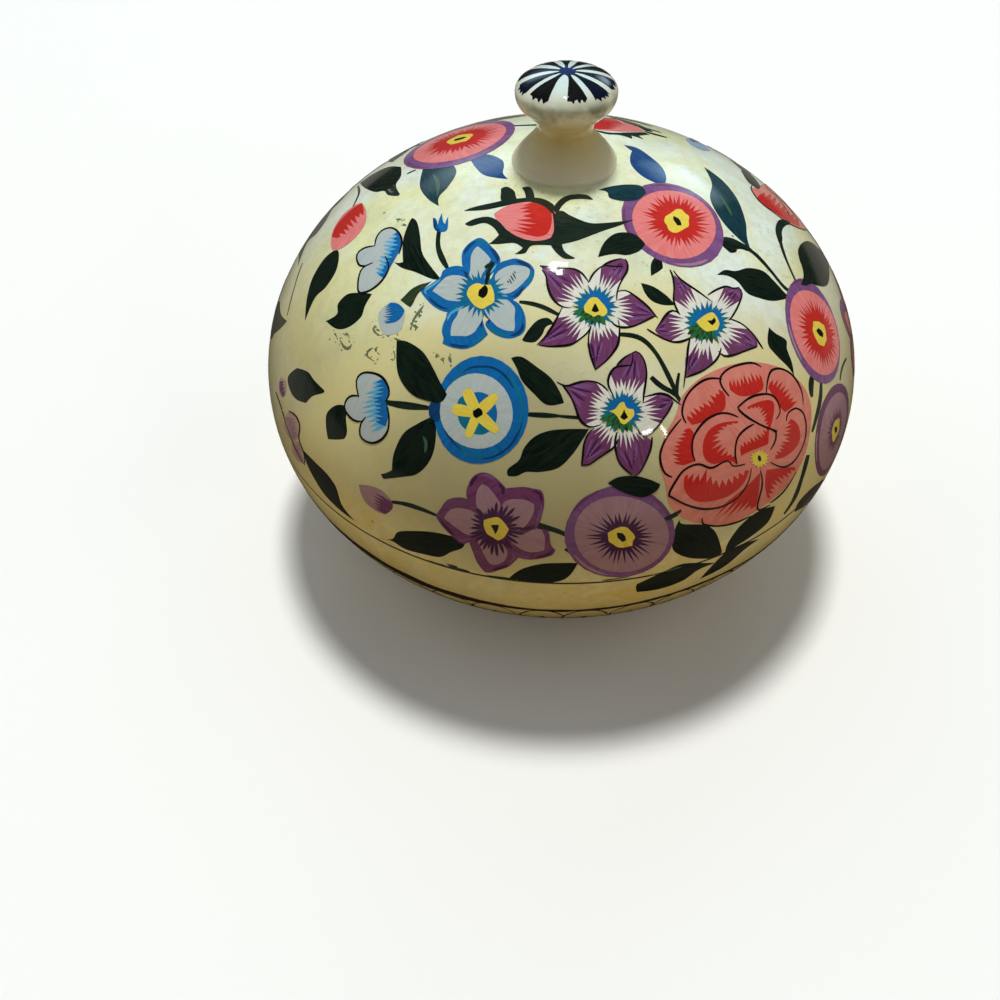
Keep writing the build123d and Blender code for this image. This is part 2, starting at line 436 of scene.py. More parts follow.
class Dome:
    """An ellipsoid: its middle's height, its half width, its rise above the middle and drop below."""

    def __init__(self, middle, half_width, rise, drop):
        self.middle = Vector((0, 0, middle))
        self.half_width = half_width
        self.rise = rise
        self.drop = drop

    def squeeze(self, half_height):
        return Vector((1 / self.half_width, 1 / self.half_width, 1 / half_height))

    def half_height(self, point):
        return self.rise if point.z >= self.middle.z else self.drop

    def snap(self, point):
        """The point moved onto the surface, straight from the middle."""
        from_middle = point - self.middle
        return self.middle + from_middle / (from_middle * self.squeeze(self.half_height(point))).length

    def hit(self, start, way):
        """Where a line first meets the surface, or the rim that it passes nearest."""
        for half_height in (self.rise, self.drop):
            # In units of the ellipsoid's axes it is a ball, met where a * t * t + 2 * b * t + c is 0.
            squeeze = self.squeeze(half_height)
            start_unit = (start - self.middle) * squeeze
            way_unit = way * squeeze
            a = way_unit.dot(way_unit)
            b = start_unit.dot(way_unit)
            c = start_unit.dot(start_unit) - 1
            point = start + way * ((-b - sqrt(max(0, b * b - a * c))) / a)
            if point.z >= self.middle.z:
                break
        return self.snap(point)

    def normal(self, point):
        from_middle = point - self.middle
        squeeze = self.squeeze(self.half_height(point))
        return (from_middle * squeeze * squeeze).normalized()

    def at(self, azimuth, climb):
        """By azimuth (0 front, 90 right) and climb (0 widest line, 90 top), in degrees."""
        level = self.half_width * cos(radians(climb))
        half_height = self.rise if climb >= 0 else self.drop
        height = half_height * sin(radians(climb))
        return self.middle + Vector((level * sin(radians(azimuth)), -level * cos(radians(azimuth)), height))


BODY = Dome(WIDEST, BODY_RADIUS - COAT, CROWN_RISE - COAT, BOWL_DROP - COAT)
KNOB_HEAD = Dome(CROWN + KNOB_HEAD_RISE, KNOB_HEAD_RADIUS - COAT, KNOB_HEAD_HEIGHT - COAT, KNOB_HEAD_HEIGHT)


class PhotoSight:
    """Draws in the photograph's frame of 1000 x 1000, along its lines of sight."""

    dome = BODY

    def place(self, point):
        across = (point[0] - PICTURE / 2) / FOCAL
        above = (PICTURE / 2 - point[1]) / FOCAL
        return self.dome.hit(EYE, AHEAD + across * RIGHT + above * UP)


class SquareOn:
    """Draws square on to a spot of the body, in picture units, x to the right and y down."""

    def __init__(self, azimuth, climb, twist=0):
        self.dome = BODY
        self.spot = BODY.at(azimuth, climb)
        self.out = BODY.normal(self.spot)
        right = Vector((0, 0, 1)).cross(self.out).normalized()
        turned = Matrix.Rotation(radians(twist), 3, self.out)
        self.right = turned @ right * PIXEL
        self.down = turned @ right.cross(self.out) * PIXEL

    def place(self, point):
        start = self.spot + point[0] * self.right + point[1] * self.down + self.out * BODY_RADIUS
        return self.dome.hit(start, -self.out)


class MovedSight:
    """Draws what was drawn round one spot of the photograph round another of the lid."""

    def __init__(self, sight, origin):
        self.dome = sight.dome
        self.sight = sight
        self.origin = origin

    def place(self, point):
        return self.sight.place((point[0] - self.origin[0], point[1] - self.origin[1]))


class Globe:
    """Draws by azimuth and climb, in degrees."""

    dome = BODY

    def place(self, point):
        return self.dome.at(point[0], point[1])


class KnobTop:
    """Draws on the knob's head by azimuth in degrees and distance from the axis in millimetres."""

    dome = KNOB_HEAD

    def place(self, point):
        return self.dome.at(point[0], degrees(acos(point[1] / self.dome.half_width)))


PHOTO = PhotoSight()
GLOBE = Globe()
KNOB_TOP = KnobTop()


# ---------------------------------------------------------------- lines

def between(first, second, share):
    return first + (second - first) * share


def turn_at(before, here, after):
    """How far a line turns at a point, in degrees."""
    arriving = here - before
    leaving = after - here
    if arriving.length == 0 or leaving.length == 0:
        return 0
    return degrees(arriving.angle(leaving))


def free_end(here, after, beyond):
    """The point before a curve's first one that lets the curve go on bending as it does further on."""
    return 2.5 * here - 2 * after + 0.5 * beyond


def soft_span(before, start, end, after, steps):
    """Points of a Catmull-Rom span, its end left out."""
    span = []
    for step in range(steps):
        t = step / steps
        span.append(
            0.5 * (
                2 * start
                + (end - before) * t
                + (2 * before - 5 * start + 4 * end - after) * t ** 2
                + (3 * start - before - 3 * end + after) * t ** 3
            )
        )
    return span


def soft_line(points):
    """An open line through the points: soft, but with a corner where it turns hard."""
    points = [Vector(p) for p in points]
    last = len(points) - 1
    if last == 1:
        return points
    line = []
    for i in range(last):
        start, end = points[i], points[i + 1]
        from_end = i == 0 or turn_at(points[i - 1], start, end) > SHARP_TURN
        to_end = i == last - 1 or turn_at(start, end, points[i + 2]) > SHARP_TURN
        after = points[i + 2] if i < last - 1 else 2 * end - start
        before = points[i - 1] if i > 0 else 2 * start - end
        if from_end:
            before = free_end(start, end, after)
        if to_end:
            after = free_end(end, start, before)
        line += soft_span(before, start, end, after, SPAN_STEPS)
    return line + [points[-1]]


def soft_loop(points, steps=SPAN_STEPS):
    """A closed line through the points: soft, but with a corner where it turns hard."""
    points = [Vector(p) for p in points]
    count = len(points)
    sharp = [
        turn_at(points[i - 1], points[i], points[(i + 1) % count]) > SHARP_TURN
        for i in range(count)
    ]
    line = []
    for i in range(count):
        before, start = points[i - 1], points[i]
        end, after = points[(i + 1) % count], points[(i + 2) % count]
        if sharp[i]:
            before = free_end(start, end, after)
        if sharp[(i + 1) % count]:
            after = free_end(end, start, before)
        line += soft_span(before, start, end, after, steps)
    return line


def spread(line, count):
    """The line again, as that many points an even way apart."""
    lengths = [0]
    for first, second in zip(line, line[1:]):
        lengths.append(lengths[-1] + (second - first).length)
    result = []
    i = 0
    for k in range(count):
        goal = lengths[-1] * k / (count - 1)
        while i < len(line) - 2 and lengths[i + 1] < goal:
            i += 1
        span = lengths[i + 1] - lengths[i]
        result.append(between(line[i], line[i + 1], (goal - lengths[i]) / span if span else 0))
    return result


def is_inside(x, y, loop):
    """Whether a spot lies in a closed flat loop, by counting the sides that it has to its right."""
    inside = False
    for (x1, y1), (x2, y2) in zip(loop, loop[1:] + loop[:1]):
        if (y1 > y) != (y2 > y) and x < (x2 - x1) * (y - y1) / (y2 - y1) + x1:
            inside = not inside
    return inside


def anticlockwise(face, spots):
    """The corners of a flat face, in order anticlockwise."""
    turning = 0
    for a, b in zip(face, face[1:] + face[:1]):
        turning += spots[a].x * spots[b].y - spots[b].x * spots[a].y
    return face[::-1] if turning < 0 else face


def taper(share, end):
    """Width near the end of a stroke, as a share of its full width, from that at its very end."""
    return min(1, end + (1 - end) * sqrt(min(1, share / STROKE_RAMP)))


# ---------------------------------------------------------------- painted ornament

class FlatView:
    """A closed border on a dome, seen square on from over its middle."""

    def __init__(self, dome, placed):
        border = []
        for first, second in zip(placed, placed[1:] + placed[:1]):
            parts = max(1, ceil((second - first).length / RIM_STEP))
            border += [dome.snap(between(first, second, k / parts)) for k in range(parts)]
        self.dome = dome
        self.centre = dome.snap(sum(border, Vector()) / len(border))
        self.out = dome.normal(self.centre)
        self.right = self.out.orthogonal().normalized()
        self.up = self.out.cross(self.right)
        self.rim = [((p - self.centre).dot(self.right), (p - self.centre).dot(self.up)) for p in border]

    def split(self):
        """Small faces that fill the border: their corners in the view, and which of them each has."""
        flat = list(self.rim)
        xs, ys = zip(*self.rim)
        for row in range(ceil((max(ys) - min(ys)) / STEP)):
            y = min(ys) + (row + 0.5) * STEP
            for column in range(ceil((max(xs) - min(xs)) / STEP) + 1):
                x = min(xs) + (column + 0.5 * (row % 2)) * STEP
                if is_inside(x, y, self.rim):
                    flat.append((x, y))
        loop = list(range(len(self.rim)))
        split = delaunay_2d_cdt([Vector(p) for p in flat], [], [loop], INSIDE_ONLY, WELD)
        spots, faces = split[0], split[2]
        return spots, [anticlockwise(face, spots) for face in faces if len(face) > 2]

    def over(self, spot):
        """The place on the dome that is seen at a spot of the view."""
        start = self.centre + self.right * spot.x + self.up * spot.y + self.out * self.dome.half_width
        return self.dome.hit(start, -self.out)


class Artwork:
    """One named piece of ornament: thin closed coats of paint that follow a curved surface."""

    def __init__(self, name, body, slot):
        self.name = name
        self.body = body
        self.slot = slot
        self.hand = random.Random(name)
        self.corners = []
        self.normals = []
        self.brush = []
        self.faces = []
        self.face_paints = []
        self.paints = []

    def past_seam(self, point):
        """How far a point lies on this body's side of the seam."""
        return point.z - SEAM - SEAM_GAP if self.body == "lid" else SEAM - SEAM_GAP - point.z

    def cut_at_seam(self, loop):
        """The part of a closed outline that lies on this body's side of the seam."""
        kept = []
        for first, second in zip(loop, loop[1:] + loop[:1]):
            here, there = self.past_seam(first), self.past_seam(second)
            if here >= 0:
                kept.append(first)
            if (here < 0) != (there < 0):
                kept.append(between(first, second, here / (here - there)))
        return kept

    def add_corner(self, dome, point, lift, brush):
        normal = dome.normal(point)
        self.corners.append((point + normal * lift) * MM)
        self.normals.append(normal)
        self.brush.append(brush)
        return len(self.corners) - 1

    def add_face(self, face, paint):
        if paint not in self.paints:
            self.paints.append(paint)
        self.faces.append(face)
        self.face_paints.append(self.paints.index(paint))

    def add_slab(self, faces, top, under, paint):
        """A coat's upper and under faces, and the walls between them along their open edges."""
        edges = {}
        for face in faces:
            self.add_face([top[i] for i in face], paint)
            self.add_face([under[i] for i in reversed(face)], paint)
            edges.update(dict.fromkeys(zip(face, face[1:] + face[:1])))
        for a, b in edges:
            if (b, a) not in edges:
                self.add_face([top[b], top[a], under[a], under[b]], paint)

    def fill(self, sight, outline, coat, paint, grain=None, middle=None):
        """A coat inside a closed outline, brushed along grain or outwards from middle."""
        placed = self.cut_at_seam([sight.place(point) for point in outline])
        if len(placed) < 3:
            return
        view = FlatView(sight.dome, placed)
        spots, faces = view.split()
        source = view.centre if middle is None else sight.place(middle)
        grain_way = view.right
        if grain is not None:
            grain_way = (sight.place(grain[1]) - sight.place(grain[0])).normalized()
        side_way = view.out.cross(grain_way)
        chance = self.hand.random()
        top = []
        under = []
        for spot in spots:
            point = view.over(spot)
            away = point - source
            if middle is None:
                brush = (away.dot(grain_way), away.dot(side_way), chance)
            else:
                turn = atan2(away.dot(view.up), away.dot(view.right))
                brush = (away.length, turn * FAN, chance)
            top.append(self.add_corner(view.dome, point, coat * LIFT, brush))
            under.append(self.add_corner(view.dome, point, -LIFT, brush))
        self.add_slab(faces, top, under, paint)

    def add_row(self, dome, point, left, half, along, coat, chance):
        """A stroke's corners at one point of its line: left and left under, right and right under."""
        row = []
        for side in (1, -1):
            edge = dome.snap(point + left * half * side)
            brush = (along, half * side, chance)
            row.append(self.add_corner(dome, edge, coat * LIFT, brush))
            row.append(self.add_corner(dome, edge, -LIFT, brush))
        return row

    def join_rows(self, rows, paint, closed):
        """The faces of a stroke between one row and the next, and at its two ends."""
        for (left, left_under, right, right_under), after in zip(rows, rows[1:]):
            next_left, next_left_under, next_right, next_right_under = after
            self.add_face([right, next_right, next_left, left], paint)
            self.add_face([right_under, left_under, next_left_under, next_right_under], paint)
            self.add_face([left, next_left, next_left_under, left_under], paint)
            self.add_face([right, right_under, next_right_under, next_right], paint)
        if not closed:
            left, left_under, right, right_under = rows[0]
            self.add_face([left, left_under, right_under, right], paint)
            left, left_under, right, right_under = rows[-1]
            self.add_face([left, right, right_under, left_under], paint)

    def stroke(self, sight, points, width, coat, paint, ends=(0.35, 0.25), closed=False, uneven=0.12):
        """One brush stroke along a line, width in picture units, thinner at its ends unless it is closed."""
        dome = sight.dome
        placed = [sight.place(point) for point in (points if closed else soft_line(points))]
        placed = [point for point in placed if self.past_seam(point) >= 0]
        if len(placed) < 2:
            return
        if closed:
            placed.append(placed[0])
        length = sum((b - a).length for a, b in zip(placed, placed[1:]))
        count = max(LEAST_ROWS, ceil(length / STROKE_STEP) + 1)
        line = [dome.snap(point) for point in spread(placed, count)]
        chance = self.hand.random()
        beat = self.hand.uniform(0, 2 * pi)
        rate = self.hand.uniform(0.5, 1.1)
        rows = []
        for i, point in enumerate(line):
            before = line[i - 1] if i else (line[-2] if closed else point)
            after = line[i + 1] if i < count - 1 else (line[1] if closed else point)
            left = dome.normal(point).cross(after - before).normalized()
            share = i / (count - 1)
            press = 1 + uneven * sin(beat + rate * share * length)
            if not closed:
                press *= taper(share, ends[0])
                press *= taper(1 - share, ends[1])
            half = 0.5 * width * PIXEL * press
            rows.append(self.add_row(dome, point, left, half, share * length, coat, chance))
        if closed:
            rows[-1] = rows[0]
        self.join_rows(rows, paint, closed)

    def finish(self):
        """Makes the piece, with its brush marks and with the shading of the surface that it follows."""
        materials = [MATERIALS[paint] for paint in self.paints]
        piece = add_mesh(self.name, self.corners, self.faces, materials, self.face_paints)
        marks = piece.data.attributes.new("brush", "FLOAT_VECTOR", "POINT")
        marks.data.foreach_set("vector", [part for mark in self.brush for part in mark])
        piece.data.normals_split_custom_set_from_vertices(self.normals)
        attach(piece, self.body)


# ---------------------------------------------------------------- marks that the flowers share

def lengthways(outline):
    """The way from an outline's first point to the one halfway round."""
    return outline[0], outline[len(outline) // 2]


def brushed_patch(art, sight, solid, reach, paint, coat, count, depth=0.5):
    """Paint that is solid along one line and ends in brush points along another."""
    solid = spread(soft_line(solid), 2 * count + 1)
    reach = spread(soft_line(reach), 2 * count + 1)
    teeth = []
    for i in range(2 * count + 1):
        if i % 2:
            share = art.hand.uniform(-0.08, 0.16)
        else:
            share = depth * art.hand.uniform(0.75, 1.25)
        teeth.append(between(reach[i], solid[i], share))
    art.fill(sight, solid + teeth[::-1], coat, paint, grain=(solid[count], reach[count]))


class Round:
    """Places round a flower's middle: a share of its reach and an angle, as it lies in the picture."""

    def __init__(self, middle, across, down):
        self.middle = Vector(middle)
        self.across = Vector(across)
        self.down = Vector(down)

    def spot(self, share, angle):
        turned = radians(angle)
        return self.middle + share * (self.across * cos(turned) + self.down * sin(turned))


def tilted_round(middle, half_width, half_height, tilt=0):
    """A circle that is seen as an ellipse, tilted anticlockwise in the picture."""
    turned = radians(tilt)
    across = Vector((cos(turned), -sin(turned))) * half_width
    down = Vector((sin(turned), cos(turned))) * half_height
    return Round(middle, across, down)


def disc(art, sight, ring, paint, coat):
    """A filled circle, drawn by hand."""
    wobble = 0.02
    count = 28
    beat = art.hand.uniform(0, 360)
    line = []
    for k in range(count):
        angle = 360 * k / count
        swing = sin(radians(2 * angle + beat)) + 0.6 * sin(radians(3 * angle - 2 * beat))
        line.append(ring.spot(1 + wobble * swing, angle))
    art.fill(sight, line, coat, paint, middle=ring.middle)


def burst(art, sight, ring, inner, outer, paint, coat, count):
    """Brush points all round a flower's middle."""
    line = []
    for k in range(count):
        angle = 360 * k / count + art.hand.uniform(-2, 2)
        length = between(inner, outer, art.hand.uniform(0.72, 1.12))
        line.append(ring.spot(inner * art.hand.uniform(0.9, 1.15), angle - 180 / count))
        line.append(ring.spot(length, angle + art.hand.uniform(-3, 3)))
    art.fill(sight, line, coat, paint, middle=ring.middle)


def eye_and_dot(art, sight, flower, coat):
    """A flower's yellow centre with its black dot, as outlined in its table."""
    art.fill(sight, soft_loop(flower["eye"]), coat, "yellow", middle=flower["middle"])
    art.fill(sight, soft_loop(flower["dot"], 3), coat + 0.5, "black", middle=flower["dot"][0])


# Height over width of a circle on the front of the lid, as the photograph sees it.
SEEN_SQUEEZE = 0.94


def ring_place(middle, radius, angle):
    """A spot round a flower's middle: angle in degrees, anticlockwise from the right."""
    across = radius * cos(radians(angle))
    above = SEEN_SQUEEZE * radius * sin(radians(angle))
    return Vector((middle[0] + across, middle[1] - above))


def ring_angle(middle, point):
    return degrees(atan2(-(point[1] - middle[1]) / SEEN_SQUEEZE, point[0] - middle[0]))


def far_part(middle, outline, radius):
    """The stretch of a petal's closed outline that lies further than a radius from the middle."""
    line = soft_loop(outline, 4)
    far = [(Vector(point) - Vector(middle)).length > radius for point in line]
    start = next(i for i in range(len(line)) if far[i] and not far[i - 1])
    stretch = []
    for k in range(len(line)):
        i = (start + k) % len(line)
        if not far[i]:
            break
        stretch.append(Vector(line[i]))
    return stretch


COMB_INNER = 22          # how near a star's middle the purple brush points reach
COMB_OUTER = 39          # where the purple becomes solid
COMB_PITCH = 7.5         # degrees between brush points


def purple_end(art, sight, middle, outline):
    """The purple end of a star's petal, combed out in brush points towards the middle."""
    stretch = far_part(middle, outline, COMB_OUTER)
    first, last = ring_angle(middle, stretch[0]), ring_angle(middle, stretch[-1])
    last += 360 * round((first - last) / 360)
    teeth = max(5, round(abs(last - first) / COMB_PITCH))
    comb = []
    for j in range(1, 2 * teeth):
        angle = last + (first - last) * (j + art.hand.uniform(-0.25, 0.25)) / (2 * teeth)
        if j % 2:
            reach = COMB_INNER * art.hand.uniform(0.96, 1.25)
        else:
            reach = COMB_OUTER * art.hand.uniform(0.86, 1.1)
        comb.append(ring_place(middle, reach, angle))
    art.fill(sight, stretch + comb, FLOWER_COAT + 1, "purple", grain=(middle, stretch[len(stretch) // 2]))
    tip = max(stretch, key=lambda point: (point - Vector(middle)).length)
    reach = (tip - Vector(middle)).length
    towards = ring_angle(middle, tip)
    half_spread = abs(last - first) / 2
    for k, paint in enumerate(("violet", "dark_purple", "violet", "dark_purple", "violet")):
        start = COMB_OUTER * art.hand.uniform(0.9, 1.1)
        start = ring_place(middle, start, towards + half_spread * (k - 2) * 0.27)
        end = between(ring_place(middle, reach, towards), start, 0.08 + 0.3 * art.hand.random())
        art.stroke(sight, [start, end], art.hand.uniform(1.4, 2.6), FLOWER_COAT + 1.5, paint, ends=(0.2, 0.1))


def star_flower(art, sight, star):
    """White petals with purple ends, lined in black, round a burst of blue and green."""
    middle = star["middle"]
    for outline in star["petals"]:
        art.fill(sight, soft_loop(outline), FLOWER_COAT, "white", grain=(middle, outline[3]))
    for outline in star["petals"]:
        purple_end(art, sight, middle, outline)
    for line in star["lines"]:
        art.stroke(sight, line, 1.7, FLOWER_COAT + 2.5, "black", ends=(0.5, 0.35), uneven=0.25)
    ring = Round(middle, (24, 0), (0, 22.5))
    burst(art, sight, ring, 0.62, 1.0, "teal", FLOWER_COAT + 3, count=24)
    upper = Round(Vector(middle) + Vector((1, -1.5)), (21, 0), (0, 20))
    burst(art, sight, upper, 0.55, 0.88, "blue", FLOWER_COAT + 3.5, count=13)
    for k in range(9):
        angle = 200 + 12 * k
        dab = [ring_place(middle, 7, angle), ring_place(middle, art.hand.uniform(17, 24), angle)]
        art.stroke(sight, dab, 4.2, FLOWER_COAT + 4, ("green", "leaf_olive")[k % 2], ends=(1, 0.1))
    eye_and_dot(art, sight, star, FLOWER_COAT + 4.5)


def edged_flower(art, sight, flower, edge_paint, petal_paint, accents):
    """Petals of one colour inside thick edges of another, with brush marks along the edges."""
    for outer, inner in flower["petals"]:
        art.fill(sight, soft_loop(outer), FLOWER_COAT, edge_paint, grain=lengthways(outer))
    for k, (outer, inner) in enumerate(flower["petals"]):
        art.fill(sight, soft_loop(inner), FLOWER_COAT + 1, petal_paint, grain=(flower["middle"], inner[0]))
        rim = soft_loop(outer, 4)
        centre = Vector((sum(x for x, y in outer) / len(outer), sum(y for x, y in outer) / len(outer)))
        for part, accent in enumerate(accents):
            start = int(len(rim) * (0.13 + 0.19 * part + 0.07 * k))
            places = [rim[(start + i) % len(rim)] for i in range(0, len(rim) // 5, 2)]
            sweep = [between(Vector(place), centre, 0.13) for place in places]
            art.stroke(sight, sweep, art.hand.uniform(2.2, 3.4), FLOWER_COAT + 0.5, accent, ends=(0.1, 0.1))


def blue_star(art, sight, flower):
    """Grey-white petals with thick blue edges and blue brush marks from the middle."""
    edged_flower(art, sight, flower, "blue", "grey_white", ("deep_blue", "teal", "deep_blue", "sky_blue"))
    ring = Round(flower["middle"], (27, 0), (0, 25))
    burst(art, sight, ring, 0.60, 0.97, "teal", FLOWER_COAT + 2, count=26)
    burst(art, sight, ring, 0.45, 0.78, "blue", FLOWER_COAT + 3, count=17)
    for line in flower["smudges"]:
        art.stroke(sight, line, 4.4, FLOWER_COAT + 3.5, "stem_green", ends=(0.6, 0.4), uneven=0.3)
    for line in flower["dashes"]:
        art.stroke(sight, line, 0.9, FLOWER_COAT + 3.5, "black")
    eye_and_dot(art, sight, flower, FLOWER_COAT + 4)


def plum_blossom(art, sight, flower, edge_paint="purple", petal_paint="mauve", dark_paint="dark_purple"):
    """Petals with darker edges and dark brush marks from the middle."""
    middle = flower["middle"]
    edged_flower(art, sight, flower, edge_paint, petal_paint, (dark_paint, "violet", dark_paint, edge_paint))
    for k in range(30):
        angle = 12 * k + art.hand.uniform(-3, 3)
        hair = [ring_place(middle, 10, angle), ring_place(middle, art.hand.uniform(20, 31), angle)]
        art.stroke(sight, hair, 2.5, FLOWER_COAT + 3, dark_paint, ends=(1, 0.1))
    burst(art, sight, Round(middle, (20, 0), (0, 19)), 0.7, 1.0, edge_paint, FLOWER_COAT + 2, count=19)
    eye_and_dot(art, sight, flower, FLOWER_COAT + 4)


def disc_flower(art, sight, rim, petal, paints, centre, centre_size, rays=(0.5, 0.8), turns=38):
    """A round flower: a rim, a paler disc, and a burst of brush points round a yellow centre."""
    rim_paint, disc_paint, ray_paint = paints
    disc(art, sight, rim, rim_paint, FLOWER_COAT)
    disc(art, sight, petal, disc_paint, FLOWER_COAT + 1)
    core = Round(centre, petal.across, petal.down)
    burst(art, sight, core, rays[0], rays[1], ray_paint, FLOWER_COAT + 2, count=turns)
    start = art.hand.uniform(0, 360)
    for k in range(3):
        sweep = [rim.spot(0.955, start + 100 * k + 9 * i) for i in range(6)]
        art.stroke(sight, sweep, 2.4, FLOWER_COAT + 1, "purple" if k else "mauve", ends=(0.1, 0.1))
    width, height = centre_size
    size = Round(centre, (width, 0), (0, height))
    line = [size.spot(art.hand.uniform(0.88, 1.12), 360 * k / 16) for k in range(16)]
    art.fill(sight, soft_loop(line, 3), FLOWER_COAT + 3, "yellow", middle=centre)
    dot = [size.spot(0.42, 60), size.spot(0.05, 0), size.spot(0.5, 235)]
    art.stroke(sight, dot, min(width, height) * 0.55, FLOWER_COAT + 4, "black", ends=(0.7, 0.2))


def asterisk_flower(art, sight, rim, petal, middle, tips):
    """A blue ring round a grey-white disc, with a yellow asterisk over blue patches."""
    disc(art, sight, rim, "blue", FLOWER_COAT)
    disc(art, sight, petal, "grey_white", FLOWER_COAT + 1)
    for k in range(6):
        level = art.hand.uniform(0.79, 0.93)
        sweep = [rim.spot(level + art.hand.uniform(-0.01, 0.01), 60 * k + 15 * i) for i in range(7)]
        accent = ("deep_blue", "teal")[k % 2]
        art.stroke(sight, sweep, 2.0, FLOWER_COAT + 0.3 + 0.1 * k, accent, ends=(0.1, 0.1))
    middle = Vector(middle)
    for k in range(5):
        here, after = Vector(tips[k]), Vector(tips[(k + 1) % 5])
        patch = [middle, between(middle, here, 0.8), between(here, after, 0.5), between(middle, after, 0.8)]
        art.fill(sight, soft_loop(patch, 3), FLOWER_COAT + 2, "blue" if k < 2 else "teal", middle=middle)
    for tip in tips:
        art.stroke(sight, [middle, tip], 8.5, FLOWER_COAT + 3, "yellow", ends=(0.9, 0.6))
    dot = [middle + Vector((-2, -4)), middle + Vector((2, 3))]
    art.stroke(sight, dot, 8, FLOWER_COAT + 4, "black", ends=(0.7, 0.7))


PEONY_OUTLINE = [
    (747, 362), (772, 365), (791, 374), (805, 389), (811, 407), (810, 432), (803, 459), (790, 482),
    (770, 501), (744, 518), (723, 525), (702, 524), (681, 517), (669, 503), (665, 482), (659, 462),
    (664, 438), (675, 417), (682, 397), (698, 380), (721, 368),
]
PEONY_LINES = [
    [(686, 423), (682, 413), (685, 399), (694, 387), (707, 379), (722, 379)],
    [(729, 396), (722, 387), (720, 378), (728, 369), (742, 364), (753, 363), (761, 367)],
    [(766, 393), (768, 378), (772, 370), (782, 369), (793, 376), (801, 390), (803, 405)],
    [(777, 431), (763, 426), (747, 417), (737, 408), (751, 397), (767, 394), (776, 399), (780, 411),
     (776, 419)],
    [(786, 421), (788, 413), (795, 408), (803, 413), (806, 428), (803, 445), (794, 461), (783, 467),
     (770, 462)],
    [(754, 424), (744, 430), (737, 439), (735, 453), (737, 464)],
    [(768, 428), (776, 432), (775, 441), (770, 450)],
    [(695, 461), (692, 451), (693, 438), (701, 425), (712, 416), (725, 413), (738, 417)],
    [(672, 477), (664, 472), (660, 459), (662, 447), (669, 434), (681, 419)],
    [(751, 468), (748, 482), (738, 497), (723, 506), (705, 509), (687, 505), (668, 495), (675, 482),
     (684, 470), (698, 464), (711, 468), (723, 462), (729, 461), (733, 466), (745, 464)],
    [(702, 518), (703, 524), (717, 526), (734, 523), (751, 516)],
    [(760, 470), (762, 485), (757, 506), (760, 510), (770, 505)],
    [(796, 472), (784, 491), (770, 503)],
]
# Each red mark is the line where its paint is solid, and the line that its brush points reach.
PEONY_MARKS = [
    ([(692, 425), (705, 421), (719, 414), (725, 407), (725, 395)],
     [(685, 417), (692, 407), (702, 400), (711, 393), (720, 388)]),
    ([(730, 390), (740, 396), (752, 395), (762, 390), (763, 383)],
     [(728, 381), (738, 378), (748, 374), (760, 372)]),
    ([(768, 388), (773, 396), (779, 406), (785, 412)], [(771, 378), (781, 381), (790, 390), (799, 402)]),
    ([(747, 407), (758, 402), (769, 400), (774, 404), (773, 417), (770, 428)],
     [(748, 410), (756, 409), (761, 414), (763, 422), (768, 428)]),
    ([(791, 419), (798, 425), (800, 438), (795, 448), (786, 456), (776, 459)],
     [(787, 423), (784, 432), (782, 439), (778, 448), (774, 456)]),
    ([(741, 456), (748, 452), (758, 448), (768, 444), (769, 430)],
     [(739, 444), (747, 440), (755, 435), (762, 430), (768, 428)]),
    ([(738, 421), (721, 423), (709, 430), (703, 443), (704, 457), (713, 464), (728, 460), (737, 465)],
     [(738, 423), (725, 428), (719, 437), (722, 444), (727, 451), (737, 457)]),
    ([(689, 428), (694, 434), (693, 447), (695, 461), (684, 465)],
     [(683, 430), (676, 439), (671, 451), (674, 464)]),
    ([(684, 478), (685, 491), (695, 501), (711, 501), (728, 496), (742, 485), (749, 471)],
     [(686, 474), (695, 471), (705, 470), (713, 474), (723, 478), (734, 474), (747, 469)]),
    ([(738, 493), (751, 482), (760, 472), (759, 489), (756, 505)],
     [(723, 505), (713, 513), (707, 519), (725, 517), (742, 511), (754, 508)]),
    ([(794, 467), (780, 468), (766, 470), (765, 485), (767, 497)],
     [(796, 469), (789, 476), (782, 483), (775, 491), (769, 499)]),
]
PEONY_CENTRE = (759, 458.5)
PEONY_MIDDLE = (735, 445)
PEONY_EYE = 7


def peony(art, sight):
    """The large pink flower: overlapping petals in black line, with red brushed into each."""
    art.fill(sight, soft_loop(PEONY_OUTLINE), FLOWER_COAT, "rose", middle=PEONY_CENTRE)
    for solid, reach in PEONY_MARKS:
        brushed_patch(art, sight, solid, reach, "red", FLOWER_COAT + 1, count=len(solid) + 4, depth=0.45)
    for line in PEONY_LINES:
        art.stroke(sight, line, LINE_WIDTH, FLOWER_COAT + 2, "black", ends=(0.5, 0.4))
    burst(art, sight, tilted_round(PEONY_CENTRE, 9.5, 9), 0.7, 1.1, "yellow", FLOWER_COAT + 3, count=15)
    ring = tilted_round(PEONY_CENTRE, PEONY_EYE, PEONY_EYE)
    line = [ring.spot(art.hand.uniform(0.86, 1.14), 360 * k / 14) for k in range(14)]
    art.fill(sight, soft_loop(line, 3), FLOWER_COAT + 4, "yellow", middle=PEONY_CENTRE)
    hook = []
    for aside, down in ((0.15, 0.33), (0.05, 0.05), (-0.17, -0.45)):
        hook.append(Vector(PEONY_CENTRE) + Vector((aside, down)) * PEONY_EYE)
    art.stroke(sight, hook, PEONY_EYE * 0.5, FLOWER_COAT + 5, "black", ends=(0.6, 0.2))


def petal_with_marks(art, sight, outline, paint, marks, mark_paint):
    """A petal or bud: its colour, and brush marks over it."""
    art.fill(sight, soft_loop(outline), FLOWER_COAT, paint, grain=lengthways(outline))
    for solid, reach in marks:
        brushed_patch(art, sight, solid, reach, mark_paint, FLOWER_COAT + 1, max(4, len(solid) + 3))


# ---------------------------------------------------------------- the lid's front, in the photograph's frame

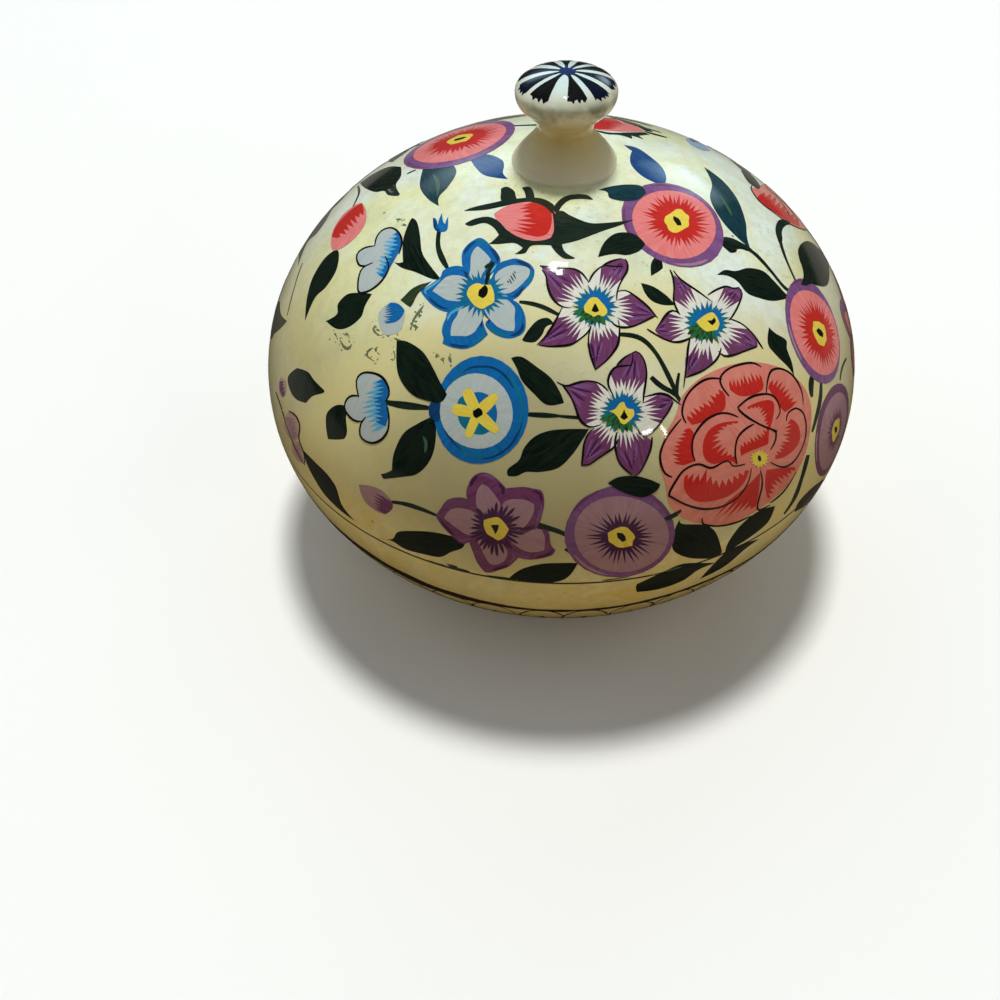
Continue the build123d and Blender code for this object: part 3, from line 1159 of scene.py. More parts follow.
# The star flowers of the front, in pixels of the photograph.
STARS = {
    "upper_left": {
        "middle": (595, 307),
        "petals": [
            [(588, 282), (593, 274), (601, 267), (611, 261), (620, 258.5), (625, 260), (627, 266),
             (625, 274), (620, 283), (617.5, 292), (612, 297), (600, 292), (591, 290)],
            [(617, 292), (625, 290.5), (634, 295), (644, 303), (654, 314.5), (650, 318.5), (640, 323.5),
             (630, 327), (620, 327), (613, 322), (610, 310), (612, 300)],
            [(591, 328), (588.5, 338), (589.5, 350), (592, 360), (595.5, 369), (601, 365), (609, 358),
             (616, 349), (619, 338), (619, 327), (610, 322), (598, 322)],
            [(562, 309), (557, 318), (550, 330), (541, 342), (538, 344.5), (550, 345.5), (562, 345.5),
             (573, 343.5), (583, 336), (590, 329), (585, 318), (575, 310), (568, 307)],
            [(541, 266.5), (552, 267.5), (566, 268.5), (577, 270), (584, 275), (588.5, 281.5), (585, 292),
             (577, 302), (568, 308), (560, 305), (553, 298), (548, 287), (546.5, 277)],
        ],
        "lines": [
            [(589, 282), (594, 273), (603, 266), (612, 266.5), (623, 267)],
            [(603, 265.5), (611, 261.5), (621, 258.5)],
            [(625, 259), (627.5, 264), (627, 271), (623, 278), (619, 286), (617, 293), (616.5, 300)],
            [(617, 292), (625, 290.5), (632, 294), (640, 300), (648, 307), (654, 314), (657.5, 318)],
            [(655, 316), (648, 319.5), (640, 323.5), (632, 326.5), (624, 327.5), (616, 326), (611, 321)],
            [(591, 327), (589, 334), (588.5, 343), (590, 353), (592.5, 361), (595.5, 370)],
            [(618, 320), (619.5, 330), (618, 344), (612, 354), (606, 361), (600, 366), (595, 370)],
            [(562, 308), (557, 318), (551, 329), (545, 337), (537, 345)],
            [(539, 345), (549, 346.5), (560, 346), (571, 344.5), (580, 339), (588, 332), (591, 326)],
            [(540, 266), (552, 267.5), (565, 268.5), (573, 269), (580, 272), (585, 277), (589, 283)],
            [(542, 270), (546, 276), (547, 283), (549, 291), (553, 299), (559, 305), (565, 307.5),
             (571, 308)],
        ],
        "eye": [(584, 307), (587, 302), (591, 298), (597, 298), (601, 302), (606, 308), (607, 313),
                (603, 316.5), (598, 315), (594, 317), (590, 314.5), (585, 312)],
        "dot": [(595, 303.5), (597, 306.5), (599, 311), (595.5, 312.5), (591.5, 311), (593, 307)],
    },
    "upper_right": {
        "middle": (706.5, 323),
        "petals": [
            [(674, 275), (681, 281), (690, 287), (700, 293), (710, 301), (705, 309), (697, 315), (688, 319),
             (680, 314), (675.5, 306), (674, 295), (673.5, 284)],
            [(709, 295), (717, 290), (726, 287), (733, 288.5), (739, 288), (742, 294), (739, 303),
             (735, 312), (729, 319), (721, 317), (713, 308), (709, 301)],
            [(730, 320), (740, 324), (749, 331), (756, 340), (757.5, 346), (748, 349.5), (738, 353.5),
             (726, 355.5), (719.5, 352), (719, 342), (722, 330)],
            [(690, 340), (688, 352), (687, 364), (685.5, 376), (694, 373), (704, 369), (713, 362),
             (719, 354), (720, 348), (712, 340), (700, 338)],
            [(677, 313), (671, 311.5), (665, 316), (660, 323), (655, 330), (661, 337), (671, 341),
             (680, 341.5), (688, 338.5), (694, 334), (692, 325), (685, 317)],
        ],
        "lines": [
            [(670, 270), (673, 278), (674, 288), (673.5, 300), (676, 308), (680, 315)],
            [(673.5, 271), (680, 279), (688, 285), (697, 291), (704, 296), (712, 302)],
            [(708, 295), (715, 290.5), (722, 287.5), (727, 286.5), (733, 288.5), (739, 287.5), (742, 294),
             (740, 301), (737, 308), (733, 315), (729, 320)],
            [(730, 319), (740, 323), (748, 329), (755, 337), (759, 343), (763, 349)],
            [(757, 346.5), (750, 349), (741, 352.5), (732, 355.5), (724, 356), (718, 351)],
            [(690, 338), (688, 348), (687, 360), (685.5, 372), (684.5, 380), (683.5, 388)],
            [(721, 348), (718, 357), (712, 364), (704, 370), (695, 374), (685, 377.5)],
            [(679, 314), (675, 311), (670, 311.5), (665, 316), (661, 322), (656, 329)],
            [(647, 329), (654, 333.5), (662, 338), (671, 341.5), (679, 342), (687, 339.5), (695, 335)],
        ],
        "eye": [(696, 322), (702, 317), (708, 313.5), (713, 313), (717, 318), (719, 324), (717, 330),
                (711, 331), (706, 331.5), (700, 327)],
        "dot": [(707, 320.5), (711, 320.5), (714, 317.5), (715.5, 321.5), (712, 325.5), (709.5, 323.5)],
    },
    "lower": {
        "middle": (622, 412),
        "petals": [
            [(611, 396), (608.5, 387), (609, 378), (613, 370), (620, 361), (628, 355), (636, 352),
             (641, 356), (645, 365), (646, 377), (644, 390), (642, 400), (632, 400), (620, 399)],
            [(643, 397), (652, 395), (661, 394), (668, 396), (673, 401), (669, 410), (663, 419), (657, 427),
             (650, 432), (644, 434), (637, 428), (636, 415), (638, 405)],
            [(618, 434), (615.5, 443), (616, 454), (620, 464), (627, 471), (634, 475.5), (639, 472),
             (645, 462), (649, 452), (651, 441), (645, 436), (632, 428), (622, 428)],
            [(591, 429), (586, 437), (583.5, 447), (582.5, 464), (590, 463.5), (600, 457), (610, 450),
             (616, 443), (618, 433), (610, 426), (600, 424)],
            [(565, 386), (576, 383.5), (588, 381.5), (598, 383), (607, 390), (610, 400), (606, 415),
             (600, 424), (591, 426.5), (583, 423), (578.5, 414), (574, 402), (569, 392)],
        ],
        "lines": [
            [(614, 397), (609, 387), (608, 380), (611, 372), (616, 367), (623, 366), (631, 365.5),
             (633, 358), (632, 353)],
            [(617, 365), (624, 358), (632, 353)],
            [(632, 353), (636, 351.5), (641, 355), (645, 363), (646.5, 373), (645.5, 383), (644, 392),
             (643, 403)],
            [(644, 397), (652, 395), (659, 393.5), (667, 395), (673, 399), (681, 405)],
            [(673, 402), (668, 412), (663, 419), (658, 426), (652, 432), (646, 436), (640, 434), (638, 429)],
            [(617, 432), (615, 442), (616, 452), (619, 462), (625, 469), (632, 475)],
            [(652, 437), (651, 447), (648, 456), (644, 465), (640, 472), (635, 476)],
            [(594, 428), (588, 434), (584, 444), (583, 454), (581.5, 466)],
            [(581, 465), (589, 464.5), (597, 459), (606, 453), (614, 447), (618, 439)],
            [(557, 382), (566, 386), (574, 384), (583, 381.5), (593, 381.5), (601, 384.5), (608, 391)],
            [(562, 384), (567, 391), (572, 399), (576, 409), (579, 418), (584, 424), (591, 427),
             (601, 424.5)],
        ],
        "eye": [(609, 411), (615, 409), (620, 403), (624, 402), (627, 408), (633, 409), (634, 415),
                (630, 420), (625, 424), (621, 423), (616, 415)],
        "dot": [(624, 409), (625.5, 413), (628, 417), (624, 420), (620, 417), (622.5, 413)],
    },
}
# Edged flowers: each petal's outer and inner outline.
BLUE_STAR = {
    "middle": (481, 294),
    "petals": [
        ([(464, 270), (461.8, 262), (462.5, 252), (468, 244.5), (475, 239.5), (480, 238), (485, 240),
          (491, 246), (497, 252.5), (500.5, 260), (498, 267), (490, 276), (482, 283), (472, 280)],
         [(478, 246.5), (474, 250), (471, 257), (470.5, 268), (469.5, 276), (474, 284), (480, 283),
          (483, 275), (486, 268), (491, 259.5), (485, 252.5)]),
        ([(495, 270), (500, 263), (508, 260), (516, 258.5), (524, 261), (531, 265), (534.5, 271),
          (533, 279), (529, 285), (523, 291), (518, 297), (511, 300), (503, 298), (495, 292), (491, 282)],
         [(530, 270), (526, 267), (518, 265.5), (511, 265.5), (504, 268), (498, 272), (495, 278),
          (498, 288), (503, 293), (508, 293.5), (513, 291.5), (519, 287), (525, 281), (529, 276)]),
        ([(507, 298), (513, 300), (519, 304), (523, 310), (525.5, 318), (525.5, 328), (522, 334),
          (515, 337.5), (507, 338.5), (498, 336), (490, 331), (485.5, 325), (487, 320.5), (490, 320.5),
          (483, 313), (484, 304), (494, 298)],
         [(514, 331), (515, 326), (514.5, 318), (515, 309), (511, 303), (505, 299), (497, 299), (489, 304),
          (484.5, 310), (488, 317), (493, 322.5), (498, 327), (506, 330.5)]),
        ([(448, 312), (446, 318), (443, 325), (442, 332), (443.5, 338), (442.5, 343.5), (449, 346.5),
          (457, 348.5), (465, 349), (473, 346.5), (480, 342), (488, 334.5), (485, 328), (483, 321),
          (481, 310), (470, 303), (458, 306)],
         [(451, 336), (451, 329), (453, 322), (457, 316), (460, 309), (467, 305), (476, 306), (482, 312),
          (482, 320), (478, 327), (474, 332.5), (467, 336), (458, 336)]),
        ([(420.5, 291), (431, 284), (440, 277.5), (443, 271), (450, 267), (458, 266), (465, 268),
          (471, 276), (473, 288), (470, 300), (462, 307), (454, 312), (446, 312), (436, 308), (427, 300)],
         [(432.5, 291), (439, 284), (445, 278), (452, 275.5), (461, 276), (468, 280), (470, 288),
          (466, 296), (460, 301), (454, 301), (447, 300), (440, 296)]),
    ],
    "smudges": [((493, 262), (488, 274)), ((489, 270), (486, 286)), ((485, 268), (491, 263.5))],
    "dashes": [
        ((512.5, 273), (516, 279)),
        ((510.5, 275.5), (514, 281.5)),
        ((509, 279), (512, 284)),
        ((514.5, 271.5), (515.5, 273.5)),
        ((507.5, 281), (509, 283)),
    ],
    "eye": [(467, 294), (470, 287), (477, 283.5), (484, 285), (491, 285), (494, 293), (494, 302),
            (488, 306), (482, 309), (475, 306), (470, 300)],
    "dot": [(485, 285), (488, 289), (487, 295), (483, 298.5), (478.5, 296), (479, 291), (482, 288)],
}
PLUM = {
    "middle": (495, 528),
    "petals": [
        ([(467.5, 499), (466.5, 491), (470, 481), (475, 475), (482, 472.5), (490, 474), (497, 479),
          (503, 485), (506, 490), (503, 503), (498, 516), (486, 518), (475, 508)],
         [(482, 484), (477.5, 490), (476, 499), (477, 507), (483, 514), (490, 519), (497, 518),
          (500.5, 505), (497, 498), (491.5, 490.5), (487, 486)]),
        ([(505, 489), (514, 487.5), (524, 487), (533, 488.5), (541, 490.5), (544, 497), (544, 506),
          (542, 515), (539, 524), (534, 530), (524, 532), (512, 531), (503, 522), (499, 508), (500, 496)],
         [(534, 504), (526, 500), (518, 499), (510, 499.5), (503.5, 503), (501.5, 512), (504, 520),
          (511, 527), (519, 530), (526, 525), (531, 518), (534, 511)]),
        ([(545, 529.5), (549, 533), (550, 540), (551.5, 546), (555.5, 550), (552, 555), (543, 558),
          (533, 559.5), (524, 559), (518, 557), (511, 552), (505, 544), (501, 535), (510, 530), (525, 532),
          (535, 529)],
         [(544, 550), (545, 543), (544.5, 536), (541, 529.5), (533, 529.5), (524, 533.5), (514, 533),
          (507, 535), (512, 542), (518, 547), (526, 551), (535, 552)]),
        ([(469.5, 543), (473, 552), (477, 562), (484, 571), (490, 572.5), (499, 570), (508, 567),
          (514, 562), (519, 557), (512, 549), (505, 538), (490, 531), (478, 535)],
         [(491, 564), (498, 564), (505, 560), (507.5, 552), (503, 544), (499, 537), (489, 536),
          (477.5, 541), (482, 550), (486, 558)]),
        ([(436.5, 515), (441, 508), (446, 501), (453, 498), (461, 497.5), (469, 500), (478, 507),
          (485, 516), (487, 527), (481, 536), (470, 542), (461, 543), (452, 536), (443, 527), (438, 520)],
         [(444, 518), (450, 510), (458, 508), (466, 509), (474, 512), (480, 519), (481, 528), (476, 534),
          (468, 534.5), (458, 529), (449, 522)]),
    ],
    "eye": [(484, 520), (490, 518), (498, 517), (504, 522), (509, 529), (505, 536), (499, 540), (493, 537),
            (487, 533), (484, 526)],
    "dot": [(491, 525), (499, 524.5), (498, 529), (495.5, 534), (493.5, 529.5)],
}

DARK_LEAVES = {
    "far_left_long": [(338, 197), (328, 217), (317, 233), (307, 243), (298, 266), (301, 247), (310, 228),
                      (325, 208)],
    "left_under_bud": [(337, 249), (339, 256), (336, 271), (326, 287), (315, 298), (305, 321), (307, 298),
                       (313, 277), (325, 258)],
    "left_under_pansy": [(326, 321), (337, 314), (338, 304), (348, 294), (363, 293), (372, 294), (365, 306),
                         (361, 317), (349, 327), (337, 329)],
    "two_lobed": [(412, 218), (417, 222), (420, 235), (422, 252), (429, 264), (441, 279), (432, 279),
                  (415, 272), (402, 268), (394, 262), (403, 262), (403, 241), (408, 225)],
    "over_blue_disc": [(397, 341), (408, 342), (423, 352), (433, 368), (440, 382), (447, 394), (441, 402),
                       (428, 401), (413, 395), (402, 382), (397, 367)],
    "under_blue_disc": [(381, 474), (392, 470), (394, 453), (403, 434), (417, 424), (432, 417), (436, 420),
                        (435, 445), (429, 462), (417, 474), (402, 477), (384, 479)],
    "left_of_low_pansy": [(337, 405), (349, 407), (346, 417), (347, 432), (344, 439), (328, 439),
                          (326, 426), (327, 413)],
    "left_round": [(297, 368), (308, 372), (314, 380), (324, 390), (323, 393), (313, 396), (306, 403),
                   (296, 399), (290, 390), (288, 377)],
    "left_edge": [(277, 301), (280, 302), (281, 314), (287, 321), (281, 328), (274, 334), (271, 323),
                  (273, 310)],
    "left_low_long": [(304, 451), (315, 462), (327, 474), (336, 487), (342, 505), (355, 521), (340, 510),
                      (325, 495), (314, 478), (307, 464)],
    "top_left": [(360, 183), (373, 174), (388, 167), (401, 167), (401, 176), (396, 185), (400, 194),
                 (397, 196), (388, 195), (384, 191), (375, 192), (365, 188)],
    "right_of_blue_disc": [(511, 358), (522, 357), (537, 367), (551, 378), (560, 392), (564, 403),
                           (547, 405), (534, 394), (522, 381), (517, 369)],
    "under_stem": [(508, 476), (508, 469), (519, 460), (524, 448), (534, 437), (548, 431), (566, 429),
                   (589, 429), (583, 439), (572, 455), (558, 468), (540, 472), (526, 472), (517, 476)],
    "between_stars": [(522, 340), (529, 329), (538, 320), (548, 318), (554, 324), (546, 327), (542, 335),
                      (535, 342), (526, 342)],
    "under_pink_disc": [(598, 257), (604, 243), (615, 234), (629, 233), (638, 237), (645, 244), (639, 251),
                        (627, 255), (614, 254)],
    "tiny_under_pink": [(651, 276), (651, 264), (655, 257), (661, 259), (663, 268), (658, 272)],
    "small_right": [(641, 283), (654, 287), (667, 296), (675, 305), (663, 305), (652, 301), (645, 293)],
    "curled_right": [(717, 275), (725, 270), (736, 271), (748, 268), (763, 271), (774, 281), (786, 294),
                     (792, 297), (774, 301), (759, 298), (747, 293), (738, 282), (728, 276)],
    "round_right": [(800.8, 284.6), (803.5, 276.5), (802.5, 268.5), (799.6, 259.7), (798, 250.5),
                    (801, 244), (806, 241.3), (811, 242.6), (816, 246.6), (822.5, 253), (827.5, 262.5),
                    (829, 272), (828.3, 281.5), (825, 286), (818, 285.6), (811, 283.8), (806, 285.5)],
    "by_red_disc": [(716.9, 240.2), (722.8, 237), (732.5, 238.3), (741.6, 242.8), (748.5, 246.5),
                    (753, 250.5), (748.1, 251.3), (741.6, 249.2), (737, 249.4), (735.8, 252.2),
                    (730.6, 252.8), (726, 249.2), (720.8, 244.5)],
    "low_right": [(769, 327), (775, 333), (786, 340), (787, 349), (792, 363), (794, 376), (788, 367),
                  (776, 355), (768, 344)],
    "over_purple_disc": [(608, 483), (619, 477), (635, 476), (648, 479), (660, 484), (656, 491), (644, 497),
                         (631, 495), (617, 489)],
    "low_round": [(680, 519), (683, 524), (705, 525), (716, 533), (722, 552), (713, 558), (690, 558),
                  (675, 552), (672, 543), (675, 529)],
    "low_second": [(775, 506), (768, 522), (753, 535), (738, 545), (725, 553), (729, 541), (742, 524),
                   (759, 511)],
    "low_third": [(759, 539), (744, 550), (725, 566), (700, 579), (709, 569), (725, 553), (740, 545)],
    "low_long": [(715, 563), (702, 563), (682, 564), (663, 572), (648, 579), (637, 584), (637, 592),
                 (659, 589), (682, 581), (698, 570)],
    "limb_right": [(826, 478), (821.5, 487.5), (813, 498), (804, 506.5), (794.5, 512), (798, 503),
                   (806, 493.5), (816, 484.5)],
    "seam_middle": [(509, 578), (522, 569), (541, 564), (560, 563), (578, 563), (570, 575), (560, 581),
                    (543, 583), (524, 581)],
    "seam_left": [(378, 538), (392, 539), (398, 532), (413, 531), (432, 532), (451, 536), (466, 541),
                  (462, 548), (451, 552), (440, 557), (423, 554), (405, 549), (392, 541)],
}
TEAL_LEAVES = {
    "top": [(439, 206), (439, 197), (448, 187), (456, 174), (454, 166), (444, 162), (426, 162), (422, 172),
            (420, 187), (428, 199)],
    "left_of_pink_disc": [(599, 190), (610, 187), (625, 185), (640, 186), (646, 193), (637, 200),
                          (623, 201), (610, 198), (607, 192)],
    "right_long": [(704, 167), (713, 173), (725, 183), (736, 197), (742, 210), (746, 224), (747, 237),
                   (750, 248), (740, 240), (726, 226), (715, 210), (710, 197), (712, 185), (709, 176)],
}
OLIVE_LEAVES = {
    "by_blue_star": [(400.3, 300), (404, 296.5), (411, 289.5), (419, 285), (426, 283), (432, 281),
                     (425, 287.5), (418.5, 293.5), (415, 299.5), (412.5, 304.5), (410.3, 307.5),
                     (405.5, 304.2)],
}
BLUE_LEAVES = {
    "left": [(508, 179), (497, 178), (484, 175), (476, 168), (470, 159), (480, 155), (491, 155), (502, 160),
             (504, 166), (503, 173)],
    "right": [(624, 145), (637, 148), (648, 155), (661, 166), (666, 176), (665, 184), (656, 183),
              (642, 176), (632, 166), (630, 158), (632, 151)],
}
# Leaves painted over a flower, and leaves that go on below the seam.
OVER_FLOWERS = ("over_purple_disc", "round_right", "over_blue_disc", "left_of_pink_disc", "under_pink_disc")
ACROSS_SEAM = ("low_long", "low_third", "limb_right", "low_second", "seam_middle", "left_low_long")
# Thin lighter strokes on some of the leaves, and their width.
LEAF_LIGHTS = [
    ([(403, 361), (411, 373), (419, 381)], 2.4),
    ([(425, 383), (430, 388), (435, 395)], 2.0),
    ([(423, 436), (426, 443), (425, 453)], 3.4),
    ([(433, 174), (438, 185), (437, 197)], 3.0),
    ([(614, 197), (623, 193), (634, 192)], 3.4),
    ([(719, 195), (728, 208), (732, 216)], 3.0),
    ([(813, 250), (822, 262), (825, 273)], 4.0),
    ([(652, 577), (667, 571), (682, 567)], 3.0),
]


def lid_leaves():
    leaves = Artwork("lid_leaves", "lid", "paint_leaf")
    for paint, group in (
        ("leaf_green", DARK_LEAVES),
        ("leaf_teal", TEAL_LEAVES),
        ("leaf_blue", BLUE_LEAVES),
        ("leaf_olive", OLIVE_LEAVES),
    ):
        for name, outline in group.items():
            far = max(outline, key=lambda p: (Vector(p) - Vector(outline[0])).length)
            coat = OVER_COAT if name in OVER_FLOWERS else LEAF_COAT
            leaves.fill(PHOTO, soft_loop(outline), coat, paint, grain=(outline[0], far))
    for line, width in LEAF_LIGHTS:
        leaves.stroke(PHOTO, line, width, LEAF_COAT + 1, "leaf_light", ends=(0.1, 0.1))
    leaves.finish()


def base_leaves():
    """What lies below the seam of the leaves that are painted across it."""
    leaves = Artwork("base_leaves", "base", "paint_leaf")
    for name in ACROSS_SEAM:
        outline = DARK_LEAVES[name]
        leaves.fill(PHOTO, soft_loop(outline), LEAF_COAT, "leaf_green", grain=(outline[0], outline[2]))
    leaves.finish()


# Stems and short dashes: the line, and the width at its middle.
STEMS = {
    "blue_star_to_star": ([(519.3, 301.8), (540, 306), (562.3, 316.9)], 3.2),
    "star_to_peony": ([(619.7, 334.4), (640, 338), (655, 352), (668, 375), (678.7, 399)], 3.6),
    "twig_right": ([(679, 373), (677, 386), (677, 397)], 2.6),
    "twig_left": ([(651, 377), (661, 386), (675, 394), (681, 403)], 4.0),
    "disc_to_star_left": ([(522, 414), (539, 415), (560, 416)], 3.4),
    "disc_to_star_right": ([(558, 416), (572, 417.2), (586, 418)], 2.6),
    "plum_to_disc": ([(528, 528), (535, 525), (551, 529), (560, 532), (568, 536)], 4.6),
    "bud_to_plum": ([(392, 502), (405, 504), (421, 509), (438, 516)], 3.6),
    "pansy_to_disc": ([(385, 402), (402, 405), (430, 408)], 5.0),
    "tulip_to_star": ([(439, 231), (438, 245), (441, 256), (448, 269)], 4.2),
    "red_tulip": ([(789, 224), (781, 223), (779, 233), (784, 254), (797, 284)], 3.4),
    "pink_disc_to_right": ([(717, 239), (728, 240), (742, 246), (755, 254), (770, 270), (784, 287),
                            (795, 294)],
                           4.0),
    "small_disc_down": ([(821, 382), (820, 401), (815, 422), (812, 432)], 5.2),
    "small_disc_drop": ([(812, 377), (811, 388), (812, 397)], 6.5),
    "right_leafy": ([(808, 455), (803, 474), (795, 497), (784, 514)], 6.6),
    "purple_disc_dash": ([(666, 520), (673, 516), (681, 512)], 4.2),
    "purple_disc_left": ([(565, 549), (570, 552), (577, 557)], 3.0),
    "top_dash": ([(407, 174), (411, 172), (416, 170)], 3.0),
    "left_bud_line": ([(358, 186), (359, 193), (355, 203), (352, 208)], 2.4),
    "right_limb": ([(840, 380), (842, 368), (846.5, 358)], 2.8),
    "left_limb": ([(302.5, 263), (297.5, 277), (292.8, 293), (289.5, 306), (287, 316)], 2.0),
}
STEM_SPREAD = 1.1        # how much wider the strokes are than the stems' own widths


def lid_stems():
    stems = Artwork("lid_stems", "lid", "paint_leaf")
    for line, width in STEMS.values():
        stems.stroke(PHOTO, line, width * STEM_SPREAD, STEM_COAT, "stem_green", ends=(0.75, 0.55))
    stems.finish()


# Pansies are three round petals seen from the side: their outlines, their brush marks and their black lines.
HIGH_PANSY = {
    "petals": [
        [(375, 246), (377, 237), (383, 230), (392, 228), (399, 233), (402, 242), (401, 250), (394, 257),
         (384, 254)],
        [(375, 246), (365, 248), (358, 253), (357, 260), (360, 266), (367, 266), (372, 263), (383, 258),
         (384, 250)],
        [(372, 263), (363, 268), (359, 277), (358, 289), (360, 293), (369, 291), (379, 284), (386, 275),
         (389, 266), (392, 256)],
    ],
    "marks": ([(398, 232), (402, 242), (400, 250), (395, 259), (390, 268), (384, 278)],
              [(392, 234), (386, 241), (382, 250), (379, 260), (376, 268), (375, 274)]),
    "lines": [
        [(399, 254), (402, 242), (399, 233), (392, 228), (383, 230), (377, 237), (375, 246)],
        [(375, 246), (365, 248), (358, 253), (357, 260), (360, 266), (367, 266)],
        [(373, 263), (363, 268), (359, 277), (358, 289), (360, 293), (369, 291), (379, 284), (386, 275),
         (389, 266), (385, 256)],
    ],
}
LOW_PANSY = {
    "petals": [
        [(359, 396), (357, 388), (357, 379), (363, 373), (373, 373), (382, 377), (388, 386), (389, 395),
         (385, 402), (375, 403)],
        [(359, 396), (351, 396), (346, 401), (345, 409), (350, 417), (356, 421), (362, 421), (366, 417),
         (382, 404), (371, 397)],
        [(366, 417), (361, 424), (360, 434), (364, 440), (373, 443), (382, 439), (388, 430), (389, 417),
         (387, 406), (382, 402)],
    ],
    "marks": ([(383, 379), (389, 390), (386, 402), (389, 411), (386, 426)],
              [(372, 382), (367, 393), (363, 403), (364, 413), (368, 421), (372, 434)]),
    "lines": [
        [(359, 397), (357, 388), (357, 379), (363, 373), (373, 373), (382, 377), (388, 386), (389, 395),
         (385, 402)],
        [(359, 396), (351, 396), (346, 401), (345, 409), (350, 417), (356, 421), (362, 421)],
        [(366, 417), (361, 424), (360, 434), (364, 440), (373, 443), (382, 439), (388, 430), (389, 417),
         (387, 406)],
    ],
}


def pansy(art, sight, shape):
    for petal in shape["petals"]:
        art.fill(sight, soft_loop(petal), FLOWER_COAT, "grey_white", grain=(petal[0], petal[4]))
    solid, reach = shape["marks"]
    brushed_patch(art, sight, solid, reach, "sky_blue", FLOWER_COAT + 1, count=11, depth=0.5)
    nearer = [between(Vector(a), Vector(b), 0.6) for a, b in zip(solid, reach)]
    brushed_patch(art, sight, solid, nearer, "blue", FLOWER_COAT + 2, count=11, depth=0.6)
    for line in shape["lines"]:
        art.stroke(sight, line, LINE_WIDTH, FLOWER_COAT + 3, "black", ends=(0.4, 0.4))


# Buds, tulips and part-hidden flowers: outline, colour, brush marks and their colour.
RED_BUD = (
    [(362, 203), (366, 211), (365, 224), (356, 237), (344, 247), (334, 251), (331, 245), (333, 231),
     (342, 216), (354, 206)],
    "pink",
    [([(362, 203), (350, 211), (337, 225), (332, 237)], [(365, 213), (357, 224), (348, 233), (340, 239)])],
    "red",
)
MAUVE_BUD = (
    [(359, 485), (370, 486), (382, 491), (392, 502), (392, 509), (385, 514), (375, 510), (364, 500)],
    "mauve",
    [([(392, 502), (392, 509), (385, 514)], [(373, 490), (372, 500), (376, 509)])],
    "purple",
)
BLUE_BUD = (
    [(380.3, 310.5), (378.3, 315.5), (378.8, 322), (382, 331), (386.5, 335.3), (393.5, 334), (400, 330.5),
     (403.5, 322), (404.8, 314.5), (404.5, 309.6), (399.5, 304.5), (393.5, 302.2), (387, 304.5)],
    "grey_white",
    [
        ([(390.5, 302.8), (398.5, 304), (404.8, 310.2), (402.5, 316), (397, 321.5), (388, 323.6)],
         [(386.5, 306.5), (384.2, 311.5), (383.6, 316), (383.2, 320), (384.5, 323.4)]),
    ],
    "blue",
)
SMALL_TULIP = (
    [(433, 218), (436, 219), (438, 225), (439, 220), (442, 213), (443, 221), (445, 224), (448, 217),
     (448, 226), (446, 231), (439, 232), (434, 228)],
    "blue",
    [([(433, 218), (434, 228), (439, 232)], [(437, 222), (438, 227), (441, 229)])],
    "deep_blue",
)
ROSEBUD = (
    [(494, 214), (503, 208), (516, 203), (528, 201), (539, 203), (552, 208), (557, 220), (552, 237),
     (541, 242), (528, 240), (514, 237), (507, 229), (498, 222)],
    "pink",
    [
        ([(535, 202), (547, 206), (552, 218), (548, 233), (537, 237)],
         [(524, 205), (517, 213), (518, 221), (513, 226), (509, 231)]),
    ],
    "red",
)
RIGHT_TULIP = (
    [(751, 187.5), (755, 188.2), (759, 189), (761.5, 184.8), (767, 184.5), (773, 189.5), (781, 196),
     (789, 203), (796, 212.5), (802, 222.5), (805.5, 229.8), (795, 226), (786, 221.4), (773, 211.6),
     (761, 202.5), (754.6, 194.7)],
    "rose",
    [
        ([(757, 198), (766, 206.5), (777, 214), (790, 222.5), (799, 226.5)],
         [(762, 191), (771, 194.5), (781, 201), (791, 211), (799, 221)]),
    ],
    "red",
)
LEFT_EDGE_FLOWERS = [
    ([(289, 411), (296, 416), (300, 426), (298, 438), (293, 441), (287, 434), (284, 422)],
     "faded_mauve",
     [([(286, 417), (289, 428), (293, 440)], [(294, 418), (297, 426), (298, 436)])],
     "mauve"),
    ([(292, 441), (299, 443), (304, 453), (305, 463), (299, 462), (293, 453)],
     "faded_mauve",
     [([(293, 444), (296, 453), (301, 462)], [(299, 445), (303, 453), (304, 461)])],
     "mauve"),
    ([(281, 377), (286, 382), (286, 391), (283, 397), (280, 394), (279, 384)],
     "faded_mauve",
     [([(280, 381), (280, 390), (283, 397)], [(284, 381), (286, 388), (285, 395)])],
     "purple"),
]
BUD_LINES = [
    [(752, 185.5), (751, 189), (755, 196), (762, 204), (774, 213), (786.5, 222), (796, 227), (805.5, 230.5)],
    [(765, 186), (771, 192), (778, 198), (784, 206.5), (790, 217)],
    [(781, 200), (787, 206), (793, 213.5), (798, 222)],
    [(289, 411), (296, 416), (300, 426), (299, 439), (304, 453), (305, 463)],
    [(276, 392), (281, 406), (287, 426), (295, 447), (305, 465)],
]
